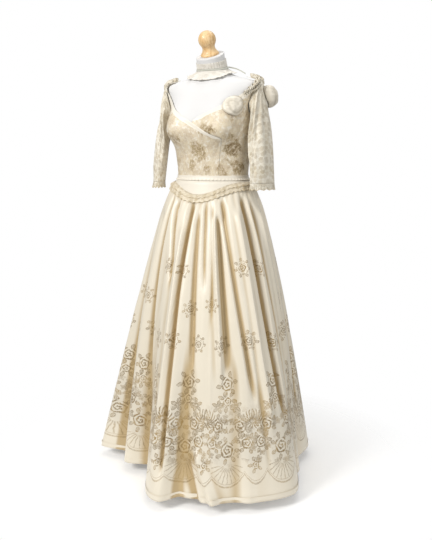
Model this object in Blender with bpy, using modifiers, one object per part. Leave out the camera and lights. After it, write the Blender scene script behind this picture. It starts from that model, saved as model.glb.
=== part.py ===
"""An evening dress on a limbless dress form: wrap bodice, basque waist, gathered skirt, elbow
sleeves, a ribbon flower on one shoulder and a lace neckband.

Metres, +Z up. The front faces -Y and the wearer's left is +X. The origin is on the floor, under
the middle of the form's foot. Angles run round the body in degrees: 0 is the centre front, 90 the
wearer's left side and 180 the centre back. A level is a height, told at the side of the body."""

import math
from collections import namedtuple

import bmesh
import bpy
from mathutils import Matrix, Vector

# Heights and sizes that drive the rest
WAIST = 1.060
HEM = 0.035
CLOTH = 0.0012
FORM_GAP = 0.0012
FORM_EASE = 0.0032
SEAM_GAP = 0.0006
GORE_INSET = 0.00018
ON_FORM = FORM_GAP + CLOTH
LAP = ON_FORM + 0.0007 + CLOTH

# The form: sections of the torso and neck, from the hip upwards
FormRing = namedtuple("FormRing", "half_width front back z_front z_side z_back")
FORM_RINGS = (
    FormRing(0.1500, 0.0950, 0.1100, 0.820, 0.820, 0.820),
    FormRing(0.1640, 0.1040, 0.1240, 0.880, 0.880, 0.880),
    FormRing(0.1540, 0.1030, 0.1120, 0.970, 0.970, 0.970),
    FormRing(0.1270, 0.0940, 0.0910, 1.060, 1.060, 1.060),
    FormRing(0.1330, 0.0980, 0.0970, 1.130, 1.130, 1.130),
    FormRing(0.1460, 0.1080, 0.1060, 1.215, 1.215, 1.215),
    FormRing(0.1530, 0.1000, 0.1080, 1.290, 1.290, 1.290),
    FormRing(0.1680, 0.0880, 0.1040, 1.335, 1.335, 1.337),
    FormRing(0.1760, 0.0760, 0.0940, 1.360, 1.357, 1.365),
    FormRing(0.1700, 0.0660, 0.0820, 1.377, 1.373, 1.385),
    FormRing(0.1300, 0.0580, 0.0700, 1.388, 1.385, 1.399),
    FormRing(0.0780, 0.0515, 0.0580, 1.398, 1.399, 1.412),
    FormRing(0.0540, 0.0480, 0.0500, 1.409, 1.415, 1.428),
    FormRing(0.0485, 0.0470, 0.0470, 1.425, 1.437, 1.453),
    FormRing(0.0475, 0.0465, 0.0465, 1.443, 1.4635, 1.484),
)
FORM_LEVELS = (
    0.820, 0.850, 0.895, 0.940, 0.975, 1.005, 1.030, 1.052, 1.075, 1.100, 1.128, 1.155, 1.180,
    1.205, 1.230, 1.255, 1.282, 1.310, 1.336, 1.357, 1.371, 1.382, 1.391, 1.402, 1.418, 1.440, 1.4635,
)
FORM_COLUMNS = 30
# The neck leans forward: how far at its top, and the level where the lean starts
NECK_LEAN = 0.020
NECK_LEAN_FROM = 1.398
BUST_ANGLE = 31.0
BUST_SPREAD = 23.0
BUST_HEIGHT = 1.215
BUST_ABOVE = 0.075
BUST_BELOW = 0.050
BUST_DEPTH = 0.042

# The neck cap and the stand
CAP_TILT = 22.0
CAP_BASE_RADIUS = 0.031
CAP_WAIST_RADIUS = 0.019
CAP_WAIST_HEIGHT = 0.028
CAP_BALL_RADIUS = 0.0295
CAP_HEIGHT = 0.080
POLE_RADIUS = 0.0125
FOOT_RADIUS = 0.165
FOOT_HEIGHT = 0.020
FOOT_BOSS_RADIUS = 0.028
FOOT_BOSS_HEIGHT = 0.052

# The basque under the waist, and the lace along its lower edge
BASQUE_SIDE = 1.037
BASQUE_DIP = 0.042
BASQUE_STAND_OFF = 0.008
BASQUE_STAND_OFF_HEIGHT = 0.022
BASQUE_DIP_SPREAD = 37.5
LACE_WAVES = 24
LACE_WAVE_DEPTH = 0.0012

# The skirt's folds at the hem, crest and trough in turn round the body
HemKnot = namedtuple("HemKnot", "angle radius")
HEM_KNOTS = (
    HemKnot(-166, 0.345), HemKnot(-150, 0.400), HemKnot(-134, 0.345), HemKnot(-118, 0.400),
    HemKnot(-104, 0.350), HemKnot(-91, 0.395), HemKnot(-81, 0.365), HemKnot(-68, 0.432),
    HemKnot(-59, 0.318), HemKnot(-46, 0.336), HemKnot(-32, 0.252), HemKnot(2.5, 0.417),
    HemKnot(11, 0.360), HemKnot(28, 0.392), HemKnot(38, 0.388), HemKnot(46, 0.407),
    HemKnot(66, 0.424), HemKnot(88, 0.347), HemKnot(104, 0.316), HemKnot(130, 0.374),
    HemKnot(142, 0.332), HemKnot(153, 0.392), HemKnot(167, 0.342), HemKnot(180, 0.398),
)
HEM_MEAN = 0.378
SKIRT_FLARE = 0.74
SKIRT_FOLDS = 24
SKIRT_TOP_OUT = 0.0056
SKIRT_DROP = 0.0014
# How deep the folds and the gathers are on the way down, as a share of the skirt's length
FoldDepth = namedtuple("FoldDepth", "share fold gather")
FOLD_DEPTHS = (
    FoldDepth(0.00, 0.0008, 0.0022),
    FoldDepth(0.08, 0.0050, 0.0022),
    FoldDepth(0.20, 0.0100, 0.0009),
    FoldDepth(0.40, 0.0130, 0.0000),
    FoldDepth(0.70, 0.0110, 0.0000),
    FoldDepth(1.00, 0.0060, 0.0000),
)
SKIRT_ROWS = (0.0, 0.045, 0.13, 0.30, 0.52, 0.77, 1.0)
SKIRT_COLUMN = 360 / 144
Gore = namedtuple("Gore", "name start end")
GORES = (
    Gore("skirt_centre_front", -32, 38),
    Gore("skirt_front_left", 38, 101),
    Gore("skirt_back_left", 101, 167),
    Gore("skirt_centre_back", 167, 226),
    Gore("skirt_back_right", 226, 279),
    Gore("skirt_front_right", 279, 328),
)

# The sleeves hang empty and flattened from the armholes
SLEEVE_TOP_OUT = ON_FORM + 0.0054 + CLOTH
ARMHOLE_LEVEL = 1.3165
ARMHOLE_HALF_HEIGHT = 0.0590
ARMHOLE_HALF_ANGLE = 19.0
SLEEVE_LINE_TOP = Vector((0.186, -0.004, 1.372))
SLEEVE_LINE_UNDER = Vector((0.161, -0.006, 1.262))
SLEEVE_FOOT = Vector((0.203, -0.031, 1.040))
SLEEVE_TURN = 25.0
SLEEVE_HALF_THIN = 0.021
SLEEVE_HALF_WIDE_TOP = 0.043
SLEEVE_HALF_WIDE_FOOT = 0.051
SLEEVE_ROWS = (0.0, 0.07, 0.17, 0.30, 0.48, 0.72, 1.0)
SLEEVE_COLUMNS = 28
SLEEVE_GATHERS = 7
SLEEVE_GATHER_DEPTH = 0.0028
CUFF_HEIGHT = 0.017
CUFF_SCALLOPS = 12
CUFF_SCALLOP_DEPTH = 0.007

# A panel is read between two edges, row by row from the waist up: each row gives the angle and
# level of the edge towards the wearer's right and of the edge towards the wearer's left
PanelRow = namedtuple("PanelRow", "share right_angle right_level left_angle left_level")
BODICE_FOOT = WAIST - 0.004
FRONT_WRAP = (
    PanelRow(0.00, -90, BODICE_FOOT, 31, BODICE_FOOT),
    PanelRow(0.20, -90, 1.120, 32, 1.110),
    PanelRow(0.38, -90, 1.190, 33, 1.181),
    PanelRow(0.46, -90, 1.225, 18, 1.203),
    PanelRow(0.54, -89, 1.262, -5, 1.238),
    PanelRow(0.64, -76, 1.276, -22, 1.268),
    PanelRow(0.76, -71, 1.308, -43, 1.305),
    PanelRow(0.88, -76, 1.346, -62, 1.344),
    PanelRow(1.00, -89, 1.369, -89, 1.386),
)
FRONT_LEFT = (
    PanelRow(0.00, 31, BODICE_FOOT, 90, BODICE_FOOT),
    PanelRow(0.20, 32, 1.110, 90, 1.120),
    PanelRow(0.38, 33, 1.181, 90, 1.190),
    PanelRow(0.46, 18, 1.203, 90, 1.225),
    PanelRow(0.54, -5, 1.238, 89, 1.262),
    PanelRow(0.64, 22, 1.280, 76, 1.276),
    PanelRow(0.76, 43, 1.311, 71, 1.308),
    PanelRow(0.88, 62, 1.344, 76, 1.346),
    PanelRow(1.00, 89, 1.386, 89, 1.369),
)
BACK_LEFT = (
    PanelRow(0.00, 90, BODICE_FOOT, 180, BODICE_FOOT),
    PanelRow(0.30, 90, 1.150, 180, 1.150),
    PanelRow(0.54, 91, 1.262, 180, 1.262),
    PanelRow(0.64, 105, 1.280, 180, 1.295),
    PanelRow(0.76, 109, 1.312, 150, 1.320),
    PanelRow(0.88, 104, 1.348, 120, 1.356),
    PanelRow(1.00, 91, 1.369, 91, 1.386),
)
FRONT_SHARES = (
    0.0, 0.05, 0.14, 0.24, 0.33, 0.38, 0.42, 0.46, 0.50, 0.54, 0.59, 0.64, 0.70, 0.76, 0.82, 0.88, 0.94, 1.0,
)
BACK_SHARES = (0.0, 0.035, 0.12, 0.24, 0.36, 0.46, 0.54, 0.60, 0.66, 0.72, 0.78, 0.84, 0.89, 0.94, 1.0)
STRAP_LIFT = 0.0014
WRAP_LIFT = 0.0030
WRAP_LIFT_REACH = 0.12

# The lace neckband, its flounce and its ribbon
NECKBAND_FOOT = 1.4235
NECKBAND_TOP = 1.446
FLOUNCE_TOP = 1.4150
FLOUNCE_FRONT = 1.372
FLOUNCE_SIDE = 1.3990
FLOUNCE_WAVES = 9
NECK_COLUMNS = 36

# The ribbon rosette on the wearer's left shoulder: one puff on the bodice's front and one on the
# back of the sleeve's head
FRONT_PUFF_ANGLE = 46
FRONT_PUFF_LEVEL = 1.290
FRONT_PUFF_SPREAD = 15.0
FRONT_PUFF_HALF_HEIGHT = 0.033
FRONT_PUFF_DEPTH = 0.013
BACK_PUFF_TURN = -45
BACK_PUFF_SHARE = 0.172
BACK_PUFF_SPREAD = 31.0
BACK_PUFF_HALF_SHARE = 0.056
BACK_PUFF_DEPTH = 0.038
PUFF_CRIMP = 0.0012

# The frills along the necklines where the straps cross the shoulders
FRILL_WAVES = 9
FRILL_COLUMNS = 36
FRILL_RISE = 0.008

# Colours as base colour and roughness
SATIN = ((0.83, 0.76, 0.62), 0.45)
BROCADE = ((0.74, 0.66, 0.50), 0.50)
LACE = ((0.80, 0.71, 0.57), 0.70)
CALICO = ((0.92, 0.92, 0.92), 0.90)
BEECH = ((0.80, 0.52, 0.26), 0.35)
STEEL = ((0.55, 0.55, 0.57), 0.35)


def smooth_step(share):
    share = min(max(share, 0.0), 1.0)
    return share * share * (3 - 2 * share)


def smooth_curve(places, values, place):
    """The smooth curve through the values given at the places, read at one place. It stays
    between neighbouring values."""
    place = min(max(place, places[0]), places[-1])
    last = len(places) - 1
    i = next(k for k in range(last) if place <= places[k + 1])

    def steepness(k):
        return (values[k + 1] - values[k]) / (places[k + 1] - places[k])

    def slope(k):
        if k in (0, last):
            return steepness(min(k, last - 1))
        before, after = steepness(k - 1), steepness(k)
        if before * after <= 0:
            return 0.0
        mean = (values[k + 1] - values[k - 1]) / (places[k + 1] - places[k - 1])
        limit = 2.5 * min(abs(before), abs(after))
        return math.copysign(min(abs(mean), limit), mean)

    step = places[i + 1] - places[i]
    t = (place - places[i]) / step
    return (
        values[i] * (2 * t**3 - 3 * t**2 + 1)
        + slope(i) * step * (t**3 - 2 * t**2 + t)
        + values[i + 1] * (3 * t**2 - 2 * t**3)
        + slope(i + 1) * step * (t**3 - t**2)
    )


def column(rows, name):
    return [getattr(row, name) for row in rows]


def read_ring(level):
    levels = column(FORM_RINGS, "z_side")
    return FormRing(*(smooth_curve(levels, column(FORM_RINGS, f), level) for f in FormRing._fields))


def bust_depth(angle, level):
    """How far the bust stands out of the torso's plain section."""
    turned = (angle + 180) % 360 - 180
    rise = (level - BUST_HEIGHT) / (BUST_ABOVE if level > BUST_HEIGHT else BUST_BELOW)
    across = sum(math.exp(-(((turned - s * BUST_ANGLE) / BUST_SPREAD) ** 2)) for s in (-1, 1))
    return BUST_DEPTH * across * math.exp(-(rise**2))


def neck_lean(level):
    rise = (level - NECK_LEAN_FROM) / (FORM_RINGS[-1].z_side - NECK_LEAN_FROM)
    return NECK_LEAN * max(rise, 0.0) ** 1.3


def form_surface(angle, level):
    ring = read_ring(level)
    a = math.radians(angle)
    reach = ring.front if math.cos(a) > 0 else ring.back
    slant = (ring.z_front - ring.z_back) / 2
    bow = (ring.z_front + ring.z_back) / 2 - ring.z_side
    bust = bust_depth(angle, level)
    return Vector((
        (ring.half_width + bust) * math.sin(a),
        -(reach + bust) * math.cos(a) - neck_lean(level),
        ring.z_side + slant * math.cos(a) + bow * math.cos(a) ** 2,
    ))


def form_point(angle, level, out=0.0):
    """A point of the form's surface, moved straight out of it."""
    point = form_surface(angle, level)
    if out == 0.0:
        return point
    step = 0.0015
    top = FORM_RINGS[-1].z_side
    low, high = max(level - step, FORM_RINGS[0].z_side), min(level + step, top)
    along = form_surface(angle, high) - form_surface(angle, low)
    around = form_surface(angle + 0.5, level) - form_surface(angle - 0.5, level)
    return point + around.cross(along).normalized() * out


def basque_edge(angle):
    """The level of the basque's lower edge, which dips at the centre front."""
    turned = (angle + 180) % 360 - 180
    return BASQUE_SIDE - BASQUE_DIP * math.exp(-((turned / BASQUE_DIP_SPREAD) ** 2))


def form_ease(level):
    """How far the torso lies inside the dress's fitted surface: none at the neck and the foot."""
    return FORM_EASE * smooth_step((level - 0.82) / 0.06) * (1 - smooth_step((level - 1.400) / 0.028))


def basque_point(angle, level, out=ON_FORM):
    """A point of the basque, which eases away from the form below the waist."""
    ease = smooth_step((BODICE_FOOT - level) / BASQUE_STAND_OFF_HEIGHT)
    return form_point(angle, level, out + BASQUE_STAND_OFF * ease)


def hem_radius(angle):
    knots = [k for k in HEM_KNOTS]
    turned = (angle + 180) % 360 - 180
    knots.append(HemKnot(knots[0].angle + 360, knots[0].radius))
    if turned < knots[0].angle:
        turned += 360
    i = next(k for k in range(len(knots) - 1) if turned <= knots[k + 1].angle)
    low, high = knots[i], knots[i + 1]
    return low.radius + (high.radius - low.radius) * smooth_step(
        (turned - low.angle) / (high.angle - low.angle)
    )


def fold_waves(angle):
    """The skirt's folds and the finer gathers between them, each from -1 to 1, unevenly spaced."""
    a = math.radians(angle)
    turn = SKIRT_FOLDS * a + 1.5 * math.sin(3 * a + 0.7) + 0.9 * math.sin(5 * a + 2.1)
    strength = 0.75 + 0.25 * math.sin(4 * a + 1.0)
    return strength * math.cos(turn), math.cos(2 * turn + 0.6)


def skirt_point(angle, share, out=0.0, folded=1.0):
    """A point of the skirt, share 0 at the basque's edge and 1 at the hem."""
    level = basque_edge(angle)
    top = basque_point(angle, level, SKIRT_TOP_OUT)
    top_radius = math.hypot(top.x, top.y)
    top_angle = math.degrees(math.atan2(top.x, -top.y))
    top_angle += 360 * round((angle - top_angle) / 360)
    fold, gather = fold_waves(angle)
    shares = column(FOLD_DEPTHS, "share")
    flare = share**SKIRT_FLARE
    radius = (
        top_radius
        + (HEM_MEAN - top_radius) * flare
        + (hem_radius(angle) - HEM_MEAN) * share**1.5
        + folded * fold * smooth_curve(shares, column(FOLD_DEPTHS, "fold"), share)
        + folded * gather * smooth_curve(shares, column(FOLD_DEPTHS, "gather"), share)
        + out
    )
    turn = math.radians(top_angle + (angle - top_angle) * flare)
    start = top.z - SKIRT_DROP
    height = start + (HEM - start) * share
    return Vector((radius * math.sin(turn), -radius * math.cos(turn), height))


def finished(obj, colour, parent, smooth=True):
    """Puts the object under its parent, with its own material."""
    (red, green, blue), roughness = colour
    material = bpy.data.materials.new(obj.name)
    material.use_nodes = True
    shader = material.node_tree.nodes["Principled BSDF"]
    shader.inputs["Base Color"].default_value = (red, green, blue, 1)
    shader.inputs["Roughness"].default_value = roughness
    obj.data.materials.append(material)
    if smooth and obj.type == "MESH":
        obj.data.shade_smooth()
    collection = bpy.data.collections[COLLECTION]
    for old in list(obj.users_collection):
        old.objects.unlink(obj)
    collection.objects.link(obj)
    obj.parent = parent
    return obj


COLLECTION = "evening_dress"


def loft(name, rows, closed=False, capped=False):
    """A surface through rows of points. It faces outwards where rows go up and points go round
    by their angle."""
    mesh = bpy.data.meshes.new(name)
    work = bmesh.new()
    made = [[work.verts.new(point) for point in row] for row in rows]
    columns = len(rows[0])
    for low, high in zip(made, made[1:]):
        for i in range(columns if closed else columns - 1):
            k = (i + 1) % columns
            work.faces.new((low[i], low[k], high[k], high[i]))
    if capped:
        work.faces.new(list(reversed(made[0])))
        work.faces.new(made[-1])
    work.to_mesh(mesh)
    work.free()
    obj = bpy.data.objects.new(name, mesh)
    bpy.context.scene.collection.objects.link(obj)
    return obj


def cloth(name, rows, colour, parent, closed=False, thickness=CLOTH):
    """A cloth wall whose outer face goes through the rows of points."""
    obj = loft(name, rows, closed)
    wall = obj.modifiers.new("wall", "SOLIDIFY")
    wall.thickness = thickness
    wall.offset = -1
    return finished(obj, colour, parent)


def wall_between(name, outer, inner, colour, parent):
    """A cloth wall between two matching grids of points."""
    mesh = bpy.data.meshes.new(name)
    work = bmesh.new()
    outer, inner = ([[work.verts.new(p) for p in row] for row in rows] for rows in (outer, inner))
    for j in range(len(outer) - 1):
        for i in range(len(outer[0]) - 1):
            # both faces are split along the same diagonal, which keeps the wall even
            for corners in (((j, i), (j, i + 1), (j + 1, i + 1)), ((j, i), (j + 1, i + 1), (j + 1, i))):
                work.faces.new([outer[a][b] for a, b in corners])
                work.faces.new([inner[a][b] for a, b in reversed(corners)])
    last_row, last_column = len(outer) - 1, len(outer[0]) - 1
    border = [(0, i) for i in range(last_column)]
    border += [(j, last_column) for j in range(last_row)]
    border += [(last_row, i) for i in range(last_column, 0, -1)]
    border += [(j, 0) for j in range(last_row, 0, -1)]
    for (a, b), (c, d) in zip(border, border[1:] + border[:1]):
        work.faces.new((outer[c][d], outer[a][b], inner[a][b], inner[c][d]))
    work.to_mesh(mesh)
    work.free()
    obj = bpy.data.objects.new(name, mesh)
    bpy.context.scene.collection.objects.link(obj)
    return finished(obj, colour, parent)


def turned_solid(name, profile, steps):
    """A solid of revolution about Z. The profile runs from the axis down its outer side."""
    mesh = bpy.data.meshes.new(name)
    points = [(radius, 0, height) for radius, height in profile]
    mesh.from_pydata(points, [(i, i + 1) for i in range(len(points) - 1)], [])
    obj = bpy.data.objects.new(name, mesh)
    bpy.context.scene.collection.objects.link(obj)
    screw = obj.modifiers.new("turn", "SCREW")
    screw.steps = screw.render_steps = steps
    screw.use_merge_vertices = True
    screw.merge_threshold = 0.0001
    return obj


def angles_between(start, end, count):
    return [start + (end - start) * i / count for i in range(count + 1)]


def make_torso(parent):
    rows = [
        [form_point(360 * i / FORM_COLUMNS, level, -form_ease(level)) for i in range(FORM_COLUMNS)]
        for level in FORM_LEVELS
    ]
    return finished(loft("form_torso", rows, closed=True, capped=True), CALICO, parent)


def make_neck_cap(parent):
    """The turned wooden knob, square on the sloping top of the neck."""
    ball_height = CAP_HEIGHT - CAP_BALL_RADIUS
    profile = [
        (CAP_BALL_RADIUS * math.sin(a), ball_height + CAP_BALL_RADIUS * math.cos(a))
        for a in (math.radians(17.5 * i) for i in range(8))
    ]
    profile.append((CAP_WAIST_RADIUS, CAP_WAIST_HEIGHT - 0.002))
    for i in range(1, 5):
        share = i / 4
        spread = (CAP_BASE_RADIUS - CAP_WAIST_RADIUS) * share**2
        profile.append((CAP_WAIST_RADIUS + spread, (CAP_WAIST_HEIGHT - 0.006) * (1 - share) + 0.004))
    profile += [(CAP_BASE_RADIUS, 0.0), (0.0, 0.0)]
    obj = turned_solid("neck_cap", profile, 20)
    top = FORM_RINGS[-1]
    tilt = math.atan2(top.z_back - top.z_front, top.front + top.back)
    middle = Vector((0, -NECK_LEAN, top.z_side))
    seat = middle + Vector((0, -math.sin(tilt), math.cos(tilt))) * 0.0010
    obj.matrix_world = Matrix.Translation(seat) @ Matrix.Rotation(tilt, 4, "X")
    return finished(obj, BEECH, parent)


def make_stand(parent):
    foot = turned_solid("stand_foot", [
        (0, FOOT_BOSS_HEIGHT),
        (FOOT_BOSS_RADIUS - 0.003, FOOT_BOSS_HEIGHT),
        (FOOT_BOSS_RADIUS, FOOT_BOSS_HEIGHT - 0.003),
        (FOOT_BOSS_RADIUS, FOOT_HEIGHT + 0.010),
        (FOOT_BOSS_RADIUS + 0.010, FOOT_HEIGHT),
        (FOOT_RADIUS - 0.006, FOOT_HEIGHT - 0.006),
        (FOOT_RADIUS, FOOT_HEIGHT - 0.012),
        (FOOT_RADIUS, 0),
        (0, 0),
    ], 32)
    finished(foot, STEEL, parent)
    low = FOOT_BOSS_HEIGHT + 0.0004
    high = FORM_RINGS[0].z_side - 0.0003
    bpy.ops.mesh.primitive_cylinder_add(
        vertices=20, radius=POLE_RADIUS, depth=high - low, location=(0, 0, (low + high) / 2)
    )
    pole = bpy.context.object
    pole.name = "stand_pole"
    return finished(pole, STEEL, parent)


def panel_rows(table, row_shares, columns, inset_right, inset_left, lift=None):
    """Rows of points of a bodice panel. Each edge is drawn in by half a seam where it is sewn."""
    shares = column(table, "share")
    rows = []
    for share in row_shares:
        right_angle, right_level, left_angle, left_level = (
            smooth_curve(shares, column(table, f), share) for f in PanelRow._fields[1:]
        )
        right_angle += inset_right
        left_angle -= inset_left
        row = []
        for i in range(columns + 1):
            part = i / columns
            angle = right_angle + (left_angle - right_angle) * part
            level = right_level + (left_level - right_level) * part
            rise = STRAP_LIFT * smooth_step((share - 0.84) / 0.1)
            if lift:
                rise += lift(share, part)
            row.append(form_point(angle, level, ON_FORM + rise))
        rows.append(row)
    return rows


def wrap_lift(share, part):
    """The wrap's free edge stands proud of the cloth that it crosses."""
    along = smooth_step((share - 0.30) / 0.10) * (1 - smooth_step((share - 0.56) / 0.10))
    return WRAP_LIFT * along * smooth_step((part - 1 + WRAP_LIFT_REACH) / WRAP_LIFT_REACH)


def mirrored(rows):
    """The same rows on the other side of the body, still facing outwards."""
    return [[Vector((-p.x, p.y, p.z)) for p in reversed(row)] for row in rows]


def make_bodice(parent):
    half_seam = 0.15
    cloth("bodice_front_wrap", panel_rows(FRONT_WRAP, FRONT_SHARES, 16, half_seam, half_seam, wrap_lift),
          BROCADE, parent)
    cloth("bodice_front_left", panel_rows(FRONT_LEFT, FRONT_SHARES, 11, 2 * half_seam, half_seam),
          BROCADE, parent)
    back = panel_rows(BACK_LEFT, BACK_SHARES, 11, half_seam, half_seam)
    cloth("bodice_back_left", back, BROCADE, parent)
    cloth("bodice_back_right", mirrored(back), BROCADE, parent)


def make_waist(parent):
    """The narrow band over the waist seam, which flares off the basque at its lower edge."""
    count = 40
    rows = []
    for level, out in ((1.0480, 0.0155), (1.0525, 0.0085), (1.0590, LAP), (1.0640, LAP)):
        rows.append([form_point(360 * i / count, level, out) for i in range(count)])
    cloth("waist_band", rows, SATIN, parent, closed=True)


def make_basque(parent):
    for name, start, end in (("basque_front", -90, 90), ("basque_back", 90, 270)):
        seam = 0.15
        angles = angles_between(start + seam, end - seam, 24)
        rows = []
        for share in (0.0, 0.4, 0.75, 1.0):
            rows.append([
                basque_point(a, basque_edge(a) + (BODICE_FOOT - SEAM_GAP - basque_edge(a)) * share)
                for a in angles
            ])
        cloth(name, rows, SATIN, parent)


def make_basque_lace(parent):
    """The ruffled lace that covers the joint of basque and skirt."""
    count = LACE_WAVES * 3
    rows = []
    for on_skirt, along, out, wave in (
        (True, 0.0190, 0.0080, 1.0),
        (True, 0.0020, 0.0072, 0.5),
        (False, 0.0050, 0.0076, 0.2),
        (False, 0.0110, 0.0045, 0.5),
    ):
        row = []
        for i in range(count):
            angle = 360 * i / count
            reach = out + LACE_WAVE_DEPTH * wave * math.cos(math.radians(LACE_WAVES * angle))
            if on_skirt:
                row.append(skirt_point(angle, along, reach, folded=0.0))
            else:
                row.append(basque_point(angle, basque_edge(angle) + along, reach))
        rows.append(row)
    cloth("basque_lace", rows, LACE, parent, closed=True, thickness=0.0010)


def skirt_inside(angle, share):
    """The point of the cloth's inner face behind a point of its outer face."""
    around = skirt_point(angle + 0.8, share) - skirt_point(angle - 0.8, share)
    along = skirt_point(angle, max(share - 0.01, 0)) - skirt_point(angle, min(share + 0.01, 1))
    return skirt_point(angle, share) - around.cross(along).normalized() * CLOTH


def make_skirt(parent):
    for gore in GORES:
        count = round((gore.end - gore.start) / SKIRT_COLUMN)
        outer, inner = [], []
        for share in reversed(SKIRT_ROWS):
            angles = angles_between(gore.start, gore.end, count)
            reach = skirt_point(gore.start, share).xy.length
            inset = math.degrees(GORE_INSET / reach)
            angles[0] += inset
            angles[-1] -= inset
            outer.append([skirt_point(angle, share) for angle in angles])
            inner.append([skirt_inside(angle, share) for angle in angles])
        wall_between(gore.name, outer, inner, SATIN, parent)


def sleeve_point(turn, share, out=0.0):
    """A point of the left sleeve. Turn 0 is its outer side, 90 its front, 180 the underarm; share
    runs from the armhole down to the cuff."""
    v = math.radians(turn)
    loop = form_point(
        90 - ARMHOLE_HALF_ANGLE * math.sin(v),
        ARMHOLE_LEVEL + ARMHOLE_HALF_HEIGHT * math.cos(v),
        SLEEVE_TOP_OUT + 0.05 * share + out,
    )
    turned = math.radians(SLEEVE_TURN)
    thin = Vector((math.cos(turned), -math.sin(turned), 0))
    wide = Vector((-math.sin(turned), -math.cos(turned), 0))
    top_end = SLEEVE_FOOT + thin * SLEEVE_HALF_THIN
    under_end = SLEEVE_FOOT - thin * SLEEVE_HALF_THIN
    bow = 0.006 * math.sin(math.pi * share)
    outer = SLEEVE_LINE_TOP.lerp(top_end, share) + thin * bow
    under = SLEEVE_LINE_UNDER.lerp(under_end, share)
    half_wide = SLEEVE_HALF_WIDE_TOP + (SLEEVE_HALF_WIDE_FOOT - SLEEVE_HALF_WIDE_TOP) * share
    front = Vector((0, -1, 0)).lerp(wide, smooth_step(share / 0.5)).normalized()
    middle = (outer + under) / 2
    gather = math.cos(SLEEVE_GATHERS * v) * (0.5 + 0.5 * math.cos(v))
    depth = SLEEVE_GATHER_DEPTH * (1 - smooth_step((share - 0.15) / 0.55)) * gather
    tube = middle + (outer - under) / 2 * math.cos(v) + front * half_wide * math.sin(v)
    side = (thin * math.cos(v) + front * math.sin(v)).normalized()
    tube += side * (depth + out)
    return loop.lerp(tube, smooth_step(share / 0.30))


def make_sleeve(side, mirror, parent):
    rows = [
        [sleeve_point(-360 * i / SLEEVE_COLUMNS, share) for i in range(SLEEVE_COLUMNS)]
        for share in reversed(SLEEVE_ROWS)
    ]
    count = CUFF_SCALLOPS * 4
    edge_share = 1 + CUFF_HEIGHT / (SLEEVE_LINE_TOP.z - SLEEVE_FOOT.z)
    top = [sleeve_point(-360 * i / count, 1.0) - Vector((0, 0, SEAM_GAP)) for i in range(count)]
    foot = []
    for i in range(count):
        point = sleeve_point(-360 * i / count, edge_share, 0.0015)
        wave = abs(math.sin(math.radians(180 * CUFF_SCALLOPS * i / count)))
        point.z = SLEEVE_FOOT.z - CUFF_HEIGHT - CUFF_SCALLOP_DEPTH * wave
        foot.append(point)
    cuff = [foot, top]
    if mirror:
        rows, cuff = mirrored(rows), mirrored(cuff)
    cloth("sleeve_" + side, rows, LACE, parent, closed=True)
    cloth("cuff_lace_" + side, cuff, LACE, parent, closed=True)


def make_frill(side, mirror, parent):
    """A gathered frill along the neckline where the strap crosses the shoulder."""
    rows = []
    for rise, out, wave in ((0.0, 0.0, 0.0), (0.5, 0.002, 0.7), (1.0, 0.003, 1.0)):
        row = []
        for i in range(FRILL_COLUMNS + 1):
            share = i / FRILL_COLUMNS
            angle = 60 + 64 * share
            level = 1.3395 + 0.042 * math.sin(math.pi * (0.05 + 0.90 * share))
            ripple = 0.0045 * wave * math.sin(2 * math.pi * FRILL_WAVES * share)
            seat = form_point(angle, level, LAP - 0.0001)
            lift = form_point(angle, level, LAP + 0.0100) - seat
            inward = (form_point(angle, level + 0.004) - form_point(angle, level)).normalized()
            ends = math.sin(math.pi * share) ** 0.5 if 0 < share < 1 else 0.0
            height = FRILL_RISE * rise * (0.35 + 0.65 * ends)
            row.append(seat + lift.normalized() * (height + out * ends) + inward * ripple)
        rows.append(row)
    if mirror:
        rows = mirrored(rows)
    cloth("shoulder_frill_" + side, rows, LACE, parent)


def make_puff(name, place, depth, parent):
    """A round puff of ribbon. Place gives a point on the surface that it is seated on, from how
    far across and up the puff it is and how far out."""
    spokes = 18

    def point(share, spoke):
        a = 2 * math.pi * spoke / spokes
        dome = depth * math.sqrt(1 - share**2) + PUFF_CRIMP * share * math.cos(3 * a)
        return place(share * math.cos(a), share * math.sin(a), dome + PUFF_CRIMP)

    shares = (1.0, 0.97, 0.80, 0.45)
    rows = [[point(share, spoke) for spoke in range(spokes)] for share in shares]
    obj = loft(name, rows, closed=True)
    work = bmesh.new()
    work.from_mesh(obj.data)
    work.verts.ensure_lookup_table()
    ring = [work.verts[spokes * (len(shares) - 1) + spoke] for spoke in range(spokes)]
    middle = work.verts.new(point(0.0, 0))
    for low, high in zip(ring, ring[1:] + ring[:1]):
        work.faces.new((low, high, middle))
    work.to_mesh(obj.data)
    work.free()
    wall = obj.modifiers.new("wall", "SOLIDIFY")
    wall.thickness = CLOTH
    wall.offset = -1
    return finished(obj, SATIN, parent)


def make_puffs(parent):
    def on_bodice(across, up, out):
        return form_point(
            FRONT_PUFF_ANGLE + FRONT_PUFF_SPREAD * across,
            FRONT_PUFF_LEVEL + FRONT_PUFF_HALF_HEIGHT * up,
            ON_FORM + CLOTH + out,
        )

    def on_sleeve(across, up, out):
        return sleeve_point(
            BACK_PUFF_TURN - BACK_PUFF_SPREAD * across,
            BACK_PUFF_SHARE - BACK_PUFF_HALF_SHARE * up,
            CLOTH - 0.0004 + out,
        )

    make_puff("petal_front", on_bodice, FRONT_PUFF_DEPTH, parent)
    make_puff("petal_back", on_sleeve, BACK_PUFF_DEPTH, parent)


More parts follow.
